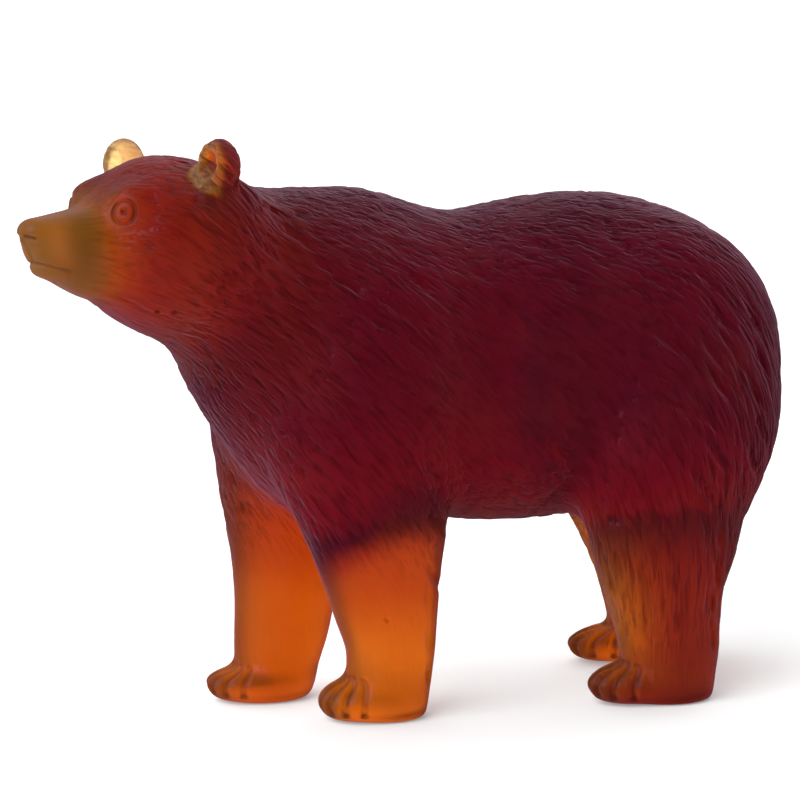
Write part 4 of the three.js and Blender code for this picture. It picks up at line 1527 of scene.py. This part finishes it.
@dataclass(frozen=True)
class Studio:
    """A white floor, soft lights and the camera."""

    azimuth: float = math.radians(-22)
    elevation: float = math.radians(8)
    aim: Triple = (0.00543, 0.0213, 0.08567)
    distance: float = 0.8032
    lens: float = 121.5
    sensor: float = 36.0
    floor_half: float = 30.0
    floor_white: float = 0.72
    floor_glow: float = 0.24
    backdrop: float = 1.9
    room_turn: float = math.radians(40)
    room: float = 0.06
    room_edges: tuple[float, float] = (-0.25, 0.45)
    seen_white: float = 1.05
    lights: dict[Light, tuple[Triple, float, float]] = field(
        default_factory=lambda: {
            Light.KEY: ((-0.75, -0.42, 0.62), 50.0, 2.6),
            Light.RIM: ((0.5, 0.8, 0.55), 40.0, 0.12),
        }
    )

    def build(self) -> None:
        """Makes the floor, the world, the lights and the camera."""
        bpy.context.scene.view_settings.view_transform = "Standard"
        self.make_world()
        self.make_floor()
        for light in Light:
            self.make_light(light)
        self.make_camera()

    def make_world(self) -> None:
        """Makes a white surround that is bright behind the bear and dark before it."""
        world = bpy.data.worlds.new("studio_white")
        world.use_nodes = True
        make = Maker(world.node_tree)
        shader = world.node_tree.nodes["Background"]
        towards = make.node("ShaderNodeVectorMath", operation="DOT_PRODUCT")
        make.put(towards.inputs[0], make.node("ShaderNodeTexCoord").outputs["Generated"])
        way = self.azimuth + self.room_turn
        towards.inputs[1].default_value = (math.sin(way), -math.cos(way), 0)
        glow = make.spread(towards.outputs["Value"], *self.room_edges, self.backdrop, self.room)
        seen = make.node("ShaderNodeLightPath").outputs["Is Camera Ray"]
        make.put(shader.inputs["Color"], (1, 1, 1, 1))
        white = make.sums("MULTIPLY", seen, self.seen_white)
        make.put(shader.inputs["Strength"], make.sums("MAXIMUM", glow, white))
        bpy.context.scene.world = world
        world.cycles_visibility.glossy = False

    def make_floor(self) -> None:
        """Makes the white floor, which glows a little so that it stays white far away."""
        h = self.floor_half
        mesh = bpy.data.meshes.new("studio_floor")
        mesh.from_pydata([(-h, -h, 0), (h, -h, 0), (h, h, 0), (-h, h, 0)], [], [(0, 1, 2, 3)])
        floor = bpy.data.objects.new("studio_floor", mesh)
        bpy.context.collection.objects.link(floor)
        floor.location.z = -0.0001
        material = bpy.data.materials.new("pale_floor")
        material.use_nodes = True
        shader = material.node_tree.nodes["Principled BSDF"]
        shader.inputs["Base Color"].default_value = (*(self.floor_white,) * 3, 1)
        shader.inputs["Roughness"].default_value = 0.9
        shader.inputs["Specular IOR Level"].default_value = 0.0
        shader.inputs["Emission Color"].default_value = (1, 1, 1, 1)
        shader.inputs["Emission Strength"].default_value = self.floor_glow
        floor.data.materials.append(material)
        floor.visible_glossy = False

    def make_light(self, light: Light) -> None:
        """Makes one soft light that shines on everything from one side."""
        place, width, power = self.lights[light]
        data = bpy.data.lights.new(light.value, "SUN")
        data.angle = math.radians(width)
        data.energy = power
        lamp = bpy.data.objects.new(light.value, data)
        bpy.context.collection.objects.link(lamp)
        lamp.location = place
        lamp.rotation_euler = (-lamp.location).to_track_quat("-Z", "Y").to_euler()

    def make_camera(self) -> None:
        """Makes the camera at the photograph's viewing angle."""
        data = bpy.data.cameras.new("camera")
        data.lens = self.lens
        data.sensor_width = self.sensor
        camera = bpy.data.objects.new("camera", data)
        bpy.context.collection.objects.link(camera)
        level = math.cos(self.elevation)
        back = Vector(
            (
                math.sin(self.azimuth) * level,
                -math.cos(self.azimuth) * level,
                math.sin(self.elevation),
            )
        )
        camera.location = Vector(self.aim) + back * self.distance
        camera.rotation_euler = (-back).to_track_quat("-Z", "Y").to_euler()
        bpy.context.scene.camera = camera


def main() -> None:
    """Builds the bear and the studio round it."""
    logging.basicConfig(level=logging.INFO, format="%(name)s: %(message)s")
    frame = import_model()

    form = Form()
    Face().carve_into(form)
    for limb in form.limbs.limbs:
        limb.paw.carve_into(form)
    Locks().carve_into(form)
    casting = Casting()
    casting.pits.carve_into(form)
    log.info("the form has %d grooves", len(form.grooves))
    bear = casting.build(frame, form)
    bear.data.materials.append(CrystalFinish().make())
    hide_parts(NODE)
    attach(bear, BODY)
    log.info("crystal_bear has %d triangles", len(bear.data.polygons))
    bubbles = Bubbles().build(form, casting.middle, casting.scale)
    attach(bubbles, BODY)
    log.info("trapped_bubbles has %d triangles", len(bubbles.data.polygons))
    Studio().build()


if __name__ == "__main__":
    main()
